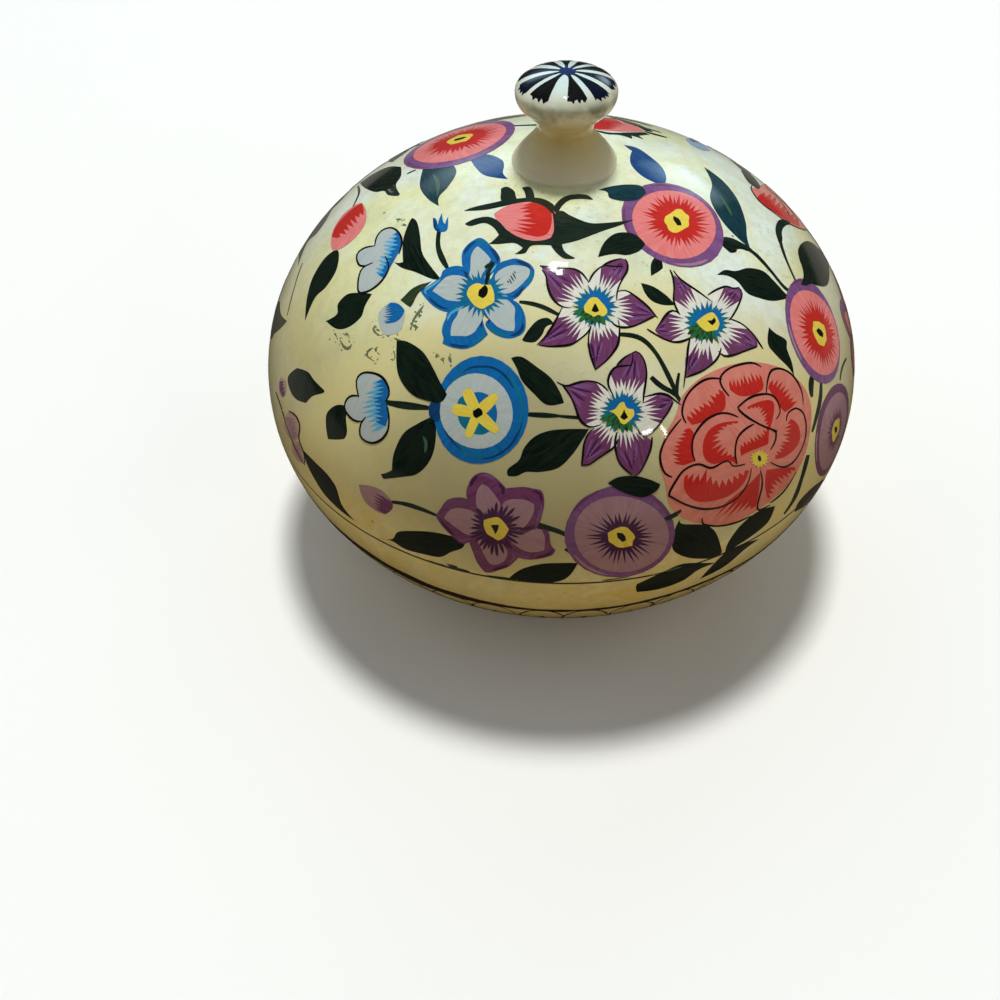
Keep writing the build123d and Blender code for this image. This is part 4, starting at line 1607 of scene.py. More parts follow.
# Dark calyxes and sepals of the buds, piece by piece.
CALYX = [
    [(664.3, 518.5), (667, 516), (673, 513.3), (680.5, 509.3), (681.3, 511.5), (674.5, 516.8), (668, 520.2)],
    [(741, 170.5), (747, 172), (754, 178), (760.5, 186.5), (758.5, 189.5), (753, 186), (747, 180.5)],
    [(767.6, 181.5), (775, 187), (783, 194), (790, 202), (787.5, 203), (780, 197.8), (773, 191.3)],
    [(790, 222.7), (784, 219.7), (778.5, 220.5), (775.8, 226), (775.6, 232), (777.5, 239), (780.3, 246),
     (782.2, 240), (781.6, 233), (783, 228), (786.5, 225)],
    [(464, 211), (475, 207), (493, 203), (507, 200), (529, 198), (543, 199), (554, 205), (552, 214),
     (543, 206), (529, 202), (514, 204), (500, 207), (484, 210)],
    [(501, 200), (501, 193), (501, 189), (507, 187), (514, 191), (516, 197), (518, 203), (507, 204)],
    [(526, 200), (525, 193), (522, 188), (529, 187), (533, 191), (535, 200)],
    [(465, 224), (475, 219), (488, 217), (498, 221), (507, 230), (518, 237), (532, 241), (545, 240),
     (554, 236), (557, 246), (543, 245), (531, 246), (525, 253), (515, 254), (523, 248), (514, 243),
     (500, 244), (489, 244), (499, 235), (493, 227), (484, 223), (471, 226)],
    [(551, 205), (555, 214), (562, 211), (571, 216), (589, 223), (607, 223), (634, 220), (621, 225),
     (600, 232), (579, 240), (562, 244), (565, 252), (575, 258), (572, 259), (563, 258), (554, 250),
     (550, 241), (554, 229)],
    [(552, 209), (561, 199), (571, 195), (586, 195), (593, 200), (582, 199), (570, 200), (562, 206),
     (558, 214)],
]

# The rosebud behind the knob, square on: bud, brush marks, sepals and stalks.
FAR_BUD_PLACE = (147, 69.5)     # azimuth and climb
FAR_BUD = [(-24, 8), (-15, -11), (-5, -23), (6, -29), (18, -25), (28, -10), (30, 5), (26, 18), (17, 25),
           (5, 19), (-9, 17)]
FAR_BUD_MARKS = [
    ([(6, -29), (18, -25), (28, -10), (30, 5), (26, 18), (17, 25)], [(-6, -14), (-4, -4), (-6, 4), (0, 10)]),
]
FAR_BUD_SEPALS = [
    [(24, 30), (8, 23), (-8, 19), (-22, 12), (-28, 18), (-12, 27), (6, 31)],
    [(10, -33), (-6, -29), (-15, -17), (-25, 4), (-31, 3), (-27, -12), (-34, -16), (-22, -18), (-27, -25),
     (-15, -27), (-4, -35)],
    [(30, 35), (14, 37), (0, 41), (-16, 43), (-4, 47), (14, 45)],
]
FAR_BUD_STALKS = [[(-24, 8), (-34, 12), (-43, 18)], [(5, 22), (-10, 20), (-22, 24), (-32, 28)]]

# The small bud on the far right limb.
FAR_BLUE_BUD = [
    (686, 139), (691, 138.6), (698, 141.5), (706, 147), (710, 151), (702, 150), (693, 146), (688, 142),
]
FAR_BLUE_MARK = [(689, 138.2), (694, 138.6), (699, 142), (693, 142)]


def far_rosebud(art):
    sight = SquareOn(*FAR_BUD_PLACE)
    petal_with_marks(art, sight, FAR_BUD, "pink", FAR_BUD_MARKS, "red")
    for outline in FAR_BUD_SEPALS:
        art.fill(sight, soft_loop(outline), FLOWER_COAT + 2, "stem_green", grain=(outline[0], outline[3]))
    for line in FAR_BUD_STALKS:
        art.stroke(sight, line, 4.4, FLOWER_COAT + 2, "stem_green", ends=(0.6, 0.3))


def lid_buds():
    buds = Artwork("lid_buds", "lid", "paint_flower")
    pansy(buds, PHOTO, HIGH_PANSY)
    pansy(buds, PHOTO, LOW_PANSY)
    shapes = [RED_BUD, MAUVE_BUD, BLUE_BUD, SMALL_TULIP, ROSEBUD, RIGHT_TULIP]
    for shape in shapes + LEFT_EDGE_FLOWERS:
        petal_with_marks(buds, PHOTO, *shape)
    far_rosebud(buds)
    buds.fill(PHOTO, soft_loop(FAR_BLUE_BUD), FLOWER_COAT, "faint_blue")
    buds.fill(PHOTO, soft_loop(FAR_BLUE_MARK), FLOWER_COAT + 1, "leaf_teal")
    for line in BUD_LINES:
        buds.stroke(PHOTO, line, 1.6, FLOWER_COAT + 3, "black", ends=(0.4, 0.4))
    for outline in CALYX:
        far = outline[6 % len(outline)]
        buds.fill(PHOTO, soft_loop(outline), FLOWER_COAT + 2, "stem_green", grain=(outline[0], far))
    buds.finish()


# Rubbed green-grey marks on the ground, mostly at the left, each with a few specks round it.
SMUDGES = [
    [(375, 325), (373, 330), (377, 334), (382, 336)],
    [(424, 305), (419, 312), (413, 321), (411, 331)],
    [(416, 315), (420, 314), (419, 318)],
    [(412, 325), (417, 327), (415, 331)],
    [(394, 338), (398, 340), (403, 341)],
    [(373, 348), (368, 351), (367, 356), (372, 360), (375, 361)],
    [(375, 351), (377, 351)],
    [(341, 341), (344, 347), (349, 349), (352, 344)],
    [(394, 351), (395, 357), (394, 361)],
    [(442, 357), (444, 363)],
    [(449, 356), (451, 363)],
    [(436, 355), (437, 358)],
    [(334, 333), (337, 337), (336, 339)],
    [(344, 335), (347, 333), (350, 338)],
    [(396, 219), (401, 220)],
    [(403, 224), (406, 226)],
    [(388, 189), (392, 193)],
]
SPECKS = 2               # round each point of a rubbed mark
# Dirt gathered along the seam.
SEAM_SMUDGES = [
    [(427, 560.3), (436, 563), (446, 565.5)],
    [(444, 565.5), (453, 567.8), (460, 569.5), (470, 571.5)],
    [(446, 563.6), (452, 566), (458, 567)],
    [(486, 575), (500, 577.6), (516, 579.8)],
    [(602, 580.4), (616, 578.8), (630, 576.6)],
]


def lid_smudges():
    smudges = Artwork("lid_smudges", "lid", "lid_lacquer")

    def scattered(point, far):
        return point + Vector((smudges.hand.gauss(0, far), smudges.hand.gauss(0, far)))

    for line in SEAM_SMUDGES:
        smudges.stroke(PHOTO, line, 2.2, LEAF_COAT, "leaf_olive", ends=(0.2, 0.2), uneven=0.5)
    for line in SMUDGES:
        smudges.stroke(PHOTO, line, 1.9, LEAF_COAT, "smudge", ends=(0.3, 0.2), uneven=0.5)
        for k in range(SPECKS * len(line)):
            near = scattered(Vector(line[k // SPECKS]), 2.2)
            smudges.stroke(PHOTO, [near, scattered(near, 1.2)], 1.3, LEAF_COAT, "smudge", uneven=0.4)
    smudges.finish()


def lid_star_flowers():
    stars = Artwork("lid_star_flowers", "lid", "paint_flower")
    for star in STARS.values():
        star_flower(stars, PHOTO, star)
    stars.finish()


# The blue ring flower: its middle, the tips of its asterisk, and the end of its stalk.
BLUE_RING_MIDDLE = (477.8, 413.4)
ASTERISK_TIPS = [(465.9, 389.4), (497, 395), (497.8, 431.7), (467.5, 437.3), (452.3, 408.6)]
STALK_END = [(430, 404), (437, 399), (441, 402), (440, 418), (437, 422), (429.5, 416)]


def lid_blue_flowers():
    flowers = Artwork("lid_blue_flowers", "lid", "paint_flower")
    blue_star(flowers, PHOTO, BLUE_STAR)
    rim = tilted_round((481.2, 410.3), 46.8, 54.4)
    petal = tilted_round((476.6, 411.4), 36.3, 37.9)
    asterisk_flower(flowers, PHOTO, rim, petal, BLUE_RING_MIDDLE, ASTERISK_TIPS)
    flowers.fill(PHOTO, soft_loop(STALK_END), FLOWER_COAT + 0.7, "deep_blue")
    flowers.finish()


PINK_DISC = ("violet", "pink", "red")
PURPLE_DISC = ("violet", "mauve", "dark_purple")
FADED_DISC = ("purple", "mauve", "purple")
# Disc flowers: how they are drawn; rim and paler disc, each as middle, half width, half height and tilt;
# paints; centre and its size; reach and number of the rays. The three nearest the edge of the view are
# drawn square on, by azimuth and climb.
FRONT_DISCS = [
    (PHOTO, ((673, 225), 54, 38.5, -25), ((674, 224.5), 43.5, 32.5, -22),
     PINK_DISC, (676.8, 221.5), (11.5, 11.5), (0.5, 0.8), 38),
    (PHOTO, ((619.5, 532), 55, 46), ((621, 534), 48, 37.5),
     PURPLE_DISC, (621.2, 537), (14, 10.5), (0.36, 0.74), 31),
    (SquareOn(-128.4, 65.6), ((1.5, 1), 61, 53.5, 51), ((2, 0), 49, 45, 71),
     PINK_DISC, (0, 0), (13, 13), (0.5, 0.8), 38),
    (SquareOn(62.8, 30.6), ((-0.7, -4.4), 47.6, 43, 57), ((-0.3, -2.1), 39.5, 38.5),
     PINK_DISC, (0, 0), (11.5, 11.5), (0.5, 0.8), 38),
    (SquareOn(57.8, 8.9), ((0, 1.5), 45, 41, 112), ((-1, 1.5), 37, 34, 104),
     FADED_DISC, (0, 0), (10, 10), (0.36, 0.6), 27),
]


def lid_disc_flowers():
    flowers = Artwork("lid_disc_flowers", "lid", "paint_flower")
    for sight, rim, petal, *rest in FRONT_DISCS:
        disc_flower(flowers, sight, tilted_round(*rim), tilted_round(*petal), *rest)
    flowers.finish()


def lid_plum_and_peony():
    plum = Artwork("lid_plum_blossoms", "lid", "paint_flower")
    plum_blossom(plum, PHOTO, PLUM)
    right_edge = MovedSight(SquareOn(84.5, 13.5, 20), PLUM["middle"])
    plum_blossom(plum, right_edge, PLUM, "purple", "rose", "red")
    plum.finish()
    peonies = Artwork("lid_peonies", "lid", "paint_flower")
    peony(peonies, PHOTO)
    peonies.finish()


# ---------------------------------------------------------------- the lid's back, in the same style

# Flowers that the photograph hides: kind, azimuth, climb, turn, size in picture units.
BACK_FLOWERS = [
    ("peony", 178, 34, 170, 0),
    ("upper_left", 130, 36, 40, 0),
    ("lower", 226, 37, -75, 0),
    ("upper_right", 208, 10, 130, 0),
    ("blue", 144, 10, 150, 0),
    ("asterisk", 236, 8, 0, 46),
    ("plum", 112, 10, -60, 0),
    ("pink", 245, 25, 0, 41),
    ("purple", 262, 9, 0, 43),
    ("pink", 178, 5, 0, 36),
]


def back_flower(flowers, kind, sight, size):
    """A flower of the front again, or a round one of its own size."""
    middle = (0, 0)
    rim = tilted_round(middle, size, size)
    if kind == "peony":
        peony(flowers, MovedSight(sight, PEONY_MIDDLE))
    elif kind in STARS:
        star_flower(flowers, MovedSight(sight, STARS[kind]["middle"]), STARS[kind])
    elif kind == "blue":
        blue_star(flowers, MovedSight(sight, BLUE_STAR["middle"]), BLUE_STAR)
    elif kind == "plum":
        plum_blossom(flowers, MovedSight(sight, PLUM["middle"]), PLUM)
    elif kind == "asterisk":
        tips = [(0.5 * size * cos(radians(72 * k)), 0.5 * size * sin(radians(72 * k))) for k in range(5)]
        asterisk_flower(flowers, sight, rim, tilted_round(middle, size * 0.76, size * 0.76), middle, tips)
    else:
        paints = PINK_DISC if kind == "pink" else PURPLE_DISC
        petal = tilted_round(middle, size * 0.84, size * 0.84)
        disc_flower(flowers, sight, rim, petal, paints, middle, (10.5, 10.5))


def lid_back_flowers():
    flowers = Artwork("lid_back_flowers", "lid", "paint_flower")
    for kind, azimuth, climb, turn, size in BACK_FLOWERS:
        back_flower(flowers, kind, SquareOn(azimuth, climb, turn), size)
    flowers.finish()


# Leaves of the hidden side: azimuth and climb of the stalk end, heading clockwise from up,
# length, half width, bend.
BACK_LEAVES = [
    (210, 56, 315, 58, 12, 5), (163, 22, 235, 52, 15, 8), (193, 22, 128, 52, 15, -8),
    (161, 42, 300, 52, 14, 7), (195, 43, 62, 52, 14, -7), (172, 51, 335, 40, 12, 5),
    (184, 51, 25, 40, 12, -5), (197, 32, 95, 42, 13, 6), (138, 28, 140, 36, 11, 5),
    (119, 43, 320, 42, 13, 6), (118, 33, 280, 50, 14, -7), (140, 42, 50, 46, 13, 6),
    (217, 30, 215, 38, 12, 5), (232, 44, 40, 44, 13, -6), (215, 45, 320, 48, 14, 7),
    (153, 17, 50, 50, 14, 7), (154, 4, 110, 48, 13, -6), (128, 4, 0, 54, 14, 6), (103, 18, 318, 48, 14, -6),
    (119, 19, 25, 46, 13, 6), (102, 4, 268, 52, 14, 6), (186, 4, 80, 44, 13, -6), (199, 18, 335, 38, 11, 5),
    (222, 3, 0, 56, 14, -7), (271, 14, 45, 52, 14, 7), (270, 4, 112, 52, 14, -6), (254, 34, 300, 46, 13, 6),
    (254, 19, 120, 36, 11, 5), (98, 30, 190, 50, 14, 6),
]
BACK_STEMS = [
    [(216, 68), (206.4, 71.4), (197, 73.5), (188, 74)],
    [(160, 30), (151, 31), (143, 34)],
    [(196, 36), (205, 37), (214, 37)],
    [(154, 14), (163, 17), (170, 19)],
    [(198, 12), (191, 15), (187, 19)],
    [(133, 14), (127, 17), (121, 15)],
    [(217, 12), (222, 13), (227, 11)],
    [(240, 17), (243, 20), (246, 21)],
    [(245, 12), (250, 15), (254, 13)],
    [(124, 27), (121, 23), (118, 19)],
    [(238, 34), (241, 33), (243, 32)],
    [(178, 13), (180, 15), (180, 17)],
    [(103, 14), (99, 20), (98, 30), (97, 36)],
    [(150, 18), (152, 22), (150, 25)],
    [(222, 20), (224, 23), (225, 27)],
]
# Buds: azimuth, climb, heading, colour, brush mark colour.
BACK_BUDS = [(150, 23, 340, "pink", "red"), (206, 25, 20, "mauve", "purple"),
             (127, 20, 350, "grey_white", "blue"), (227, 21, 25, "pink", "red"),
             (167, 13, 300, "grey_white", "blue"), (98, 9.5, 200, "mauve", "purple")]
# The bud's outline, its brush marks and its calyx.
BACK_BUD = [(-4, 0), (-13, -10), (-15, -22), (-8, -34), (1, -40), (9, -33), (14, -21), (11, -9), (4, 0)]
BACK_BUD_MARKS = [([(-12, -8), (0, -2), (11, -8)], [(-11, -24), (0, -22), (10, -25)])]
BACK_CALYX = [(-9, -2), (-5, 4), (0, 14), (5, 5), (9, -1), (4, -9), (0, -4), (-4, -10)]


def leaf_shape(length, half_width, bend):
    """A pointed leaf along the upward way from its stalk, bowed to one side."""
    left = [(0, 0), (-0.62, 0.22), (-1.0, 0.48), (-0.72, 0.78)]
    right = [(0.1, 1.0), (0.55, 0.76), (0.86, 0.45), (0.55, 0.18)]
    outline = []
    for aside, along in left + right:
        bow = bend * sin(pi * along)
        outline.append((aside * half_width + bow, -along * length))
    return outline


def lid_back_leaves():
    leaves = Artwork("lid_back_leaves", "lid", "paint_leaf")
    for i, (azimuth, climb, heading, length, half_width, bend) in enumerate(BACK_LEAVES):
        sight = SquareOn(azimuth, climb, -heading)
        outline = leaf_shape(length, half_width, bend)
        paint = ("leaf_green", "leaf_green", "leaf_teal")[i % 3]
        leaves.fill(sight, soft_loop(outline), LEAF_COAT, paint, grain=(outline[0], outline[4]))
    for line in BACK_STEMS:
        leaves.stroke(GLOBE, line, 4.2, STEM_COAT, "stem_green", ends=(0.7, 0.5))
    for azimuth, climb, heading, paint, mark_paint in BACK_BUDS:
        sight = SquareOn(azimuth, climb, -heading)
        petal_with_marks(leaves, sight, BACK_BUD, paint, BACK_BUD_MARKS, mark_paint)
        grain = (BACK_CALYX[0], BACK_CALYX[4])
        leaves.fill(sight, soft_loop(BACK_CALYX), FLOWER_COAT + 2, "stem_green", grain=grain)
    leaves.finish()


# ---------------------------------------------------------------- turned shapes

def arc(middle, half_width, half_height, first, last, count):
    """Points of an ellipse about the axis, by angles from its widest line."""
    points = []
    for k in range(count + 1):
        angle = radians(first + (last - first) * k / count)
        points.append((half_width * cos(angle), middle + half_height * sin(angle)))
    return points


def rim_rounding(rim_radius, middle, first, last):
    """The small round of a rim's outer edge, by angles about its middle's height."""
    centre = rim_radius - RIM_ROUND
    angles = [radians(angle) for angle in range(first, last, RIM_ROUND_STEP)]
    return [(centre + RIM_ROUND * cos(angle), middle + RIM_ROUND * sin(angle)) for angle in angles]


def bezier(start, start_handle, end, end_handle, count):
    """A smooth curve between two points, each with the handle that shapes its end."""
    start, end = Vector(start), Vector(end)
    leaving = start + Vector(start_handle)
    arriving = end + Vector(end_handle)
    points = []
    for k in range(count + 1):
        t = k / count
        points.append(tuple(
            start * (1 - t) ** 3 + leaving * 3 * t * (1 - t) ** 2
            + arriving * 3 * t * t * (1 - t) + end * t ** 3
        ))
    return points


def joined_profile(sections):
    """The points of a profile's sections, each once, and the material of each."""
    profile = []
    materials = []
    for points, material in sections:
        for point in points:
            if not profile or (Vector(point) - Vector(profile[-1])).length > TINY:
                profile.append(point)
                materials.append(material)
    return profile, materials


def turned_corners(profile):
    """Corners all round the axis at each point of a profile, and the ring of them that each point has."""
    corners = []
    rings = []
    for radius, height in profile:
        on_axis = radius < TINY
        start = len(corners)
        for k in range(1 if on_axis else TURNS):
            angle = 2 * pi * k / TURNS
            corners.append(Vector((radius * cos(angle), radius * sin(angle), height)) * MM)
        rings.append([start] * TURNS if on_axis else list(range(start, start + TURNS)))
    return corners, rings


def lathe(name, body, sections, nodes):
    """A closed turned shape: sections of its profile, each with a material, anticlockwise."""
    profile, section_materials = joined_profile(sections)
    names = list(dict.fromkeys(section_materials))
    corners, rings = turned_corners(profile)
    faces = []
    indices = []
    for i, ring in enumerate(rings):
        after = rings[(i + 1) % len(rings)]
        if ring[0] == ring[1] and after[0] == after[1]:
            continue
        for k in range(TURNS):
            near = (k + 1) % TURNS
            faces.append(list(dict.fromkeys([ring[k], ring[near], after[near], after[k]])))
            indices.append(names.index(section_materials[(i + 1) % len(rings)]))
    piece = add_mesh(name, corners, faces, [MATERIALS[material] for material in names], indices)
    piece.data.set_sharp_from_angle(angle=radians(TURNED_CREASE))
    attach(piece, body)
    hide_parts(*nodes)


def angle_at_height(half_height, height):
    return degrees(asin(height / half_height))


def angle_at_radius(half_width, radius):
    return degrees(acos(radius / half_width))


def lid_shell():
    above_seam = angle_at_height(BODY.drop, SEAM + RIM_ROUND - WIDEST)
    rounding = rim_rounding(BODY.half_width * cos(radians(above_seam)), SEAM + RIM_ROUND, -90, 1)
    crown_angle = angle_at_radius(BODY.half_width, CROWN_HOLE)
    outside = rounding + arc(WIDEST, BODY.half_width, BODY.drop, above_seam, 0, count=4)[1:]
    outside += arc(WIDEST, BODY.half_width, BODY.rise, 0, crown_angle, count=70)[1:]
    inside = arc(
        WIDEST, LID_INNER_RADIUS, LID_INNER_RISE,
        angle_at_radius(LID_INNER_RADIUS, CROWN_HOLE), angle_at_height(LID_INNER_RISE, BORE_TOP - WIDEST),
        count=40,
    )
    bore = [
        (LID_BORE_RADIUS, SEAM + BORE_CHAMFER),
        (LID_BORE_RADIUS + BORE_CHAMFER, SEAM),
        (rounding[0][0], SEAM),
    ]
    sections = [(outside, "cream"), (inside + bore, "satin_black")]
    lathe("lid_shell", "lid", sections, ["lid_dome"])


# The flat under the bowl and the start of the rounding at its edge, and where the bowl's curve takes over.
UNDERSIDE = [(0, 0), (FLAT_RADIUS - 0.9, 0), (FLAT_RADIUS - 0.3, 0.05)]
BOWL_START = 0.25


def base_shell():
    below_seam = angle_at_height(BODY.drop, SEAM - RIM_ROUND - WIDEST)
    foot_angle = angle_at_height(BODY.drop, BOWL_START - WIDEST)
    rounding = rim_rounding(BODY.half_width * cos(radians(below_seam)), SEAM - RIM_ROUND, 15, 91)
    bowl = arc(WIDEST, BODY.half_width, BODY.drop, foot_angle, below_seam, count=36)
    rim = [
        (COLLAR_SEAT_RADIUS, SEAM),
        (COLLAR_SEAT_RADIUS, COLLAR_LEDGE),
        (COLLAR_INNER_RADIUS, COLLAR_LEDGE),
    ]
    inside = arc(
        WIDEST, BOWL_INNER_RADIUS, BOWL_INNER_DROP,
        angle_at_height(BOWL_INNER_DROP, COLLAR_LEDGE - WIDEST),
        angle_at_height(BOWL_INNER_DROP, FLOOR_THICKNESS - WIDEST),
        count=24,
    )
    sections = [
        (UNDERSIDE + bowl + rounding[:1], "cream"),
        # painted shade: the round of the rim at the seam is dark, as the groove's shadow
        (rounding[1:], "seam_shade"),
        (rim + inside + [(0, FLOOR_THICKNESS)], "satin_black"),
    ]
    lathe("base_shell", "base", sections, ["base_bowl"])


def knob_turning():
    seat = WIDEST + (CROWN_RISE - COAT) * sqrt(1 - (KNOB_FOOT_RADIUS / BODY_RADIUS) ** 2)
    tenon_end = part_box("knob")[0].z / MM
    foot_radius = KNOB_FOOT_RADIUS - COAT
    foot_edge = (foot_radius, seat + KNOB_FOOT_EDGE)
    neck = (KNOB_NECK_RADIUS - COAT, CROWN + KNOB_NECK_RISE)
    head_edge = (KNOB_HEAD.half_width, CROWN + KNOB_HEAD_RISE)
    below = [
        (0, tenon_end), (TENON_RADIUS, tenon_end), (TENON_RADIUS, CROWN - 0.6),
        (KNOB_FOOT_RADIUS - 0.5, seat - 0.3), (foot_radius, seat - 0.1), (foot_radius, seat + 0.35),
    ]
    foot = bezier(foot_edge, FOOT_HANDLE, neck, HOLLOW_HANDLE, count=24)
    flare = bezier(neck, FLARE_HANDLE, head_edge, HEAD_HANDLE, count=24)[1:]
    head = arc(head_edge[1], KNOB_HEAD.half_width, KNOB_HEAD.rise, 0, 90, count=60)[1:-1]
    top = [(0, head_edge[1] + KNOB_HEAD.rise)]
    sections = [(below + foot + flare + head + top, "ivory")]
    lathe("knob_turning", "lid", sections, ["knob"])


# The lobes on the knob's head: azimuth of the middle, half width in degrees, reach in mm, paint.
KNOB_LOBES = [
    (11, 13.0, 7.5, "black"), (46, 12.0, 7.9, "star_blue"), (80, 12.0, 7.9, "star_blue"),
    (115, 11.5, 7.7, "black"), (147, 10.5, 7.6, "black"), (179, 10.0, 7.4, "black"),
    (212, 11.0, 7.6, "black"), (251, 12.0, 8.0, "star_blue"), (287, 11.5, 8.0, "star_blue"),
    (320, 14.0, 7.8, "black"),
]
KNOB_POLE = (0, 0.01)    # as near the axis as a spot of the head can be named


def knob_star():
    """Ten dark lobes on the knob's head, joined in a blue middle."""
    star = Artwork("knob_star", "lid", "knob_lacquer")
    for middle, half, reach, paint in KNOB_LOBES:
        rising = [(middle - 11, 0.9), (middle - half * 0.62, 2.6), (middle - half * 0.9, 5.0)]
        rising.append((middle - half, reach - 0.6))
        ragged = [(middle + half * s / 4, reach + star.hand.uniform(-0.3, 0.2)) for s in range(-4, 5)]
        falling = [(2 * middle - azimuth, radius) for azimuth, radius in reversed(rising)]
        corners = [Vector(point) for point in rising + ragged + falling]
        outline = []
        for first, second in zip(corners, corners[1:]):
            outline += [between(first, second, i / 4) for i in range(4)]
        outline.append(corners[-1])
        star.fill(KNOB_TOP, outline, 4, paint, middle=KNOB_POLE)
        for side in (-0.5, 0.1, 0.6):
            thin = [(middle + half * side, reach - 0.5), (middle + half * (side + 0.1), reach + 0.3)]
            star.stroke(KNOB_TOP, thin, 2.4, 4.5, paint, ends=(0.8, 0.1))
    centre = [(360 * k / 20, (1.7, 1.25)[k % 2] + star.hand.uniform(-0.1, 0.1)) for k in range(20)]
    star.fill(KNOB_TOP, centre, 6, "star_centre", middle=KNOB_POLE)
    star.finish()


def inside_pieces():
    """The collar and the paper patch keep their CAD shape, in the inside's lacquer."""
    for name in ("base_collar", "crown_patch"):
        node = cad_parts[name]
        node.data.materials.clear()
        node.data.materials.append(MATERIALS["satin_black"])


# ---------------------------------------------------------------- base ornament

RING_DROP = 11.5        # ring line below the widest line
RING_DIP = 1.9          # how much lower it runs in front
PETALS = 40             # lotus petals painted round the foot
# Where the ring line was gone over again: azimuth, sweep and width.
RING_REPEATS = [(-72, 60, 15), (60, 50, 10), (130, 60, 10), (215, 40, 10)]
# A petal's arch: share of its width, and drop below the ring line.
PETAL_ARCH = [(0, 4.6), (0.08, 2.9), (0.24, 1.1), (0.5, 0.3), (0.76, 1.0), (0.92, 2.7), (1, 4.6)]


def base_climb(drop):
    """Climb of a spot of the bowl that is a height below the widest line."""
    return degrees(asin(-drop / BOWL_DROP))


def ring_drop(azimuth):
    """The ring line's drop at an azimuth. It was drawn by hand: it dips in front, and wanders a little."""
    from_dip = (azimuth + 10 + 180) % 360 - 180
    dip = RING_DIP * max(0, cos(radians(2.4 * from_dip)))
    return RING_DROP + dip + 0.12 * sin(radians(11 * azimuth + 40))


def base_ring_line():
    lines = Artwork("base_ring_line", "base", "paint_line")
    line = [(3 * k, base_climb(ring_drop(3 * k))) for k in range(120)]
    lines.stroke(GLOBE, line, 6.2, 2, "line_brown", closed=True, uneven=0.15)
    for start, sweep, width in RING_REPEATS:
        azimuths = [start + sweep * k / 12 for k in range(13)]
        line = [(azimuth, base_climb(ring_drop(azimuth) - 0.2)) for azimuth in azimuths]
        lines.stroke(GLOBE, line, width, 3, "line_brown", ends=(0.4, 0.4), uneven=0.1)
    lines.finish()


def base_petals():
    """Lotus petals round the foot: brown outlines, with an olive vein in each."""
    petals = Artwork("base_petals", "base", "paint_line")
    pitch = 360 / PETALS
    for k in range(PETALS):
        left = pitch * (k + 0.87) + petals.hand.uniform(-0.5, 0.5)
        right = left + pitch
        middle = (left + right) / 2
        sway = petals.hand.uniform(-0.6, 0.6)
        ring = ring_drop(middle)
        arch = []
        for aside, below in PETAL_ARCH:
            arch.append((left + aside * pitch + sway * aside * (1 - aside), base_climb(ring + below)))
        petals.stroke(GLOBE, arch, 1.9, 1, "line_brown", ends=(0.8, 0.6), uneven=0.3)
        drops = ((left, 4.4), (left + 0.3, 9), (left + sway * 0.3, 17))
        side = [(azimuth, base_climb(ring + below)) for azimuth, below in drops]
        petals.stroke(GLOBE, side, 2.4, 1, "line_brown", ends=(0.9, 0.2), uneven=0.3)
        vein = [(middle, base_climb(ring + 5)), (middle - sway, base_climb(ring + 14))]
        petals.stroke(GLOBE, vein, 6.5, 1, "leaf_olive", ends=(0.5, 0.1), uneven=0.3)
    petals.finish()


# ---------------------------------------------------------------- studio, in metres

WORLD_LEVEL = 0.07
WORLD_MIRRORED = 0.02    # what the lacquer mirrors of it
BACKDROP_LEVEL = 0.74    # what the camera sees behind the floor, as bright as the floor
WORLD_TINT = (0.985, 0.99, 1.0, 1)
FLOOR_REACH = 6.0
PALE_FLOOR = (0.88, 0.87, 0.85, 1)
FLOOR_BOUNCE = (0.56, 0.40, 0.205, 1)        # what the floor gives back to the box
FLOOR_MIRRORED = (0.07, 0.055, 0.04, 1)      # what the lacquer mirrors of it
FLOOR_MIRRORED_LIT = (0.20, 0.18, 0.15, 1)   # the same, past the box's shadow
FLOOR_MIRRORED_FAR = (0.02, 0.02, 0.02, 1)   # the same, far off
SHADOW_EDGE = (0.12, 0.2)                    # how far out the mirrored floor gets lit
FAR_OFF = (0.45, 1.0)                        # how far out it fades
AIM = Vector((0, 0, 0.05))                   # what the soft lamps face

# Broad even lights: name, way to it, strength, width in degrees, tint.
SUNS = [
    ("overhead", (0.01, 0.25, 0.968), 2.3, 11, (0.98, 1, 0.97)),
    ("front_fill", (-0.2, -0.8, 0.4), 0.05, 70, (1, 0.97, 0.9)),
    ("right_fill", (0.9, -0.1, 0.4), 0.58, 70, (0.96, 1, 1.02)),
    ("left_fill", (-0.9, 0.1, 0.4), 0.56, 70, (0.9, 1, 1.08)),
    ("back_fill", (-0.1, 0.9, 0.4), 0.6, 70, (0.82, 0.97, 1.12)),
]
# Soft lamps that the lacquer mirrors: name, way to it, distance, width, height, power, tint.
SOFTBOXES = [
    ("back_panel", (0.03, 0.9, 0.42), 1.6, 2.0, 0.8, 0.7, (0.74, 0.9, 1)),
    ("window_left", (-0.22, 0.86, 0.45), 1.0, 0.46, 0.34, 0.9, (0.66, 0.88, 1)),
    ("window_right", (0.43, 0.80, 0.41), 1.0, 0.34, 0.30, 1.0, (0.6, 0.86, 1)),
    ("ceiling_lamp", (0.005, 0.205, 0.979), 0.9, 0.075, 0.02, 0.35, (1, 0.99, 0.96)),
    ("ceiling_lamp_end", (-0.03, 0.19, 0.981), 0.9, 0.03, 0.05, 0.3, (1, 0.99, 0.96)),
    ("ceiling_lamp_low", (0.0, 0.155, 0.988), 0.9, 0.03, 0.03, 0.16, (1, 0.99, 0.96)),
    ("front_lamp", (0.459, -0.75, 0.476), 0.9, 0.034, 0.022, 0.11, (1, 0.95, 0.88)),
    ("front_lamp_end", (0.486, -0.731, 0.479), 0.9, 0.02, 0.03, 0.08, (1, 0.95, 0.88)),
    ("front_lamp_side", (0.548, -0.70, 0.452), 0.9, 0.014, 0.07, 0.12, (1, 0.95, 0.88)),
]
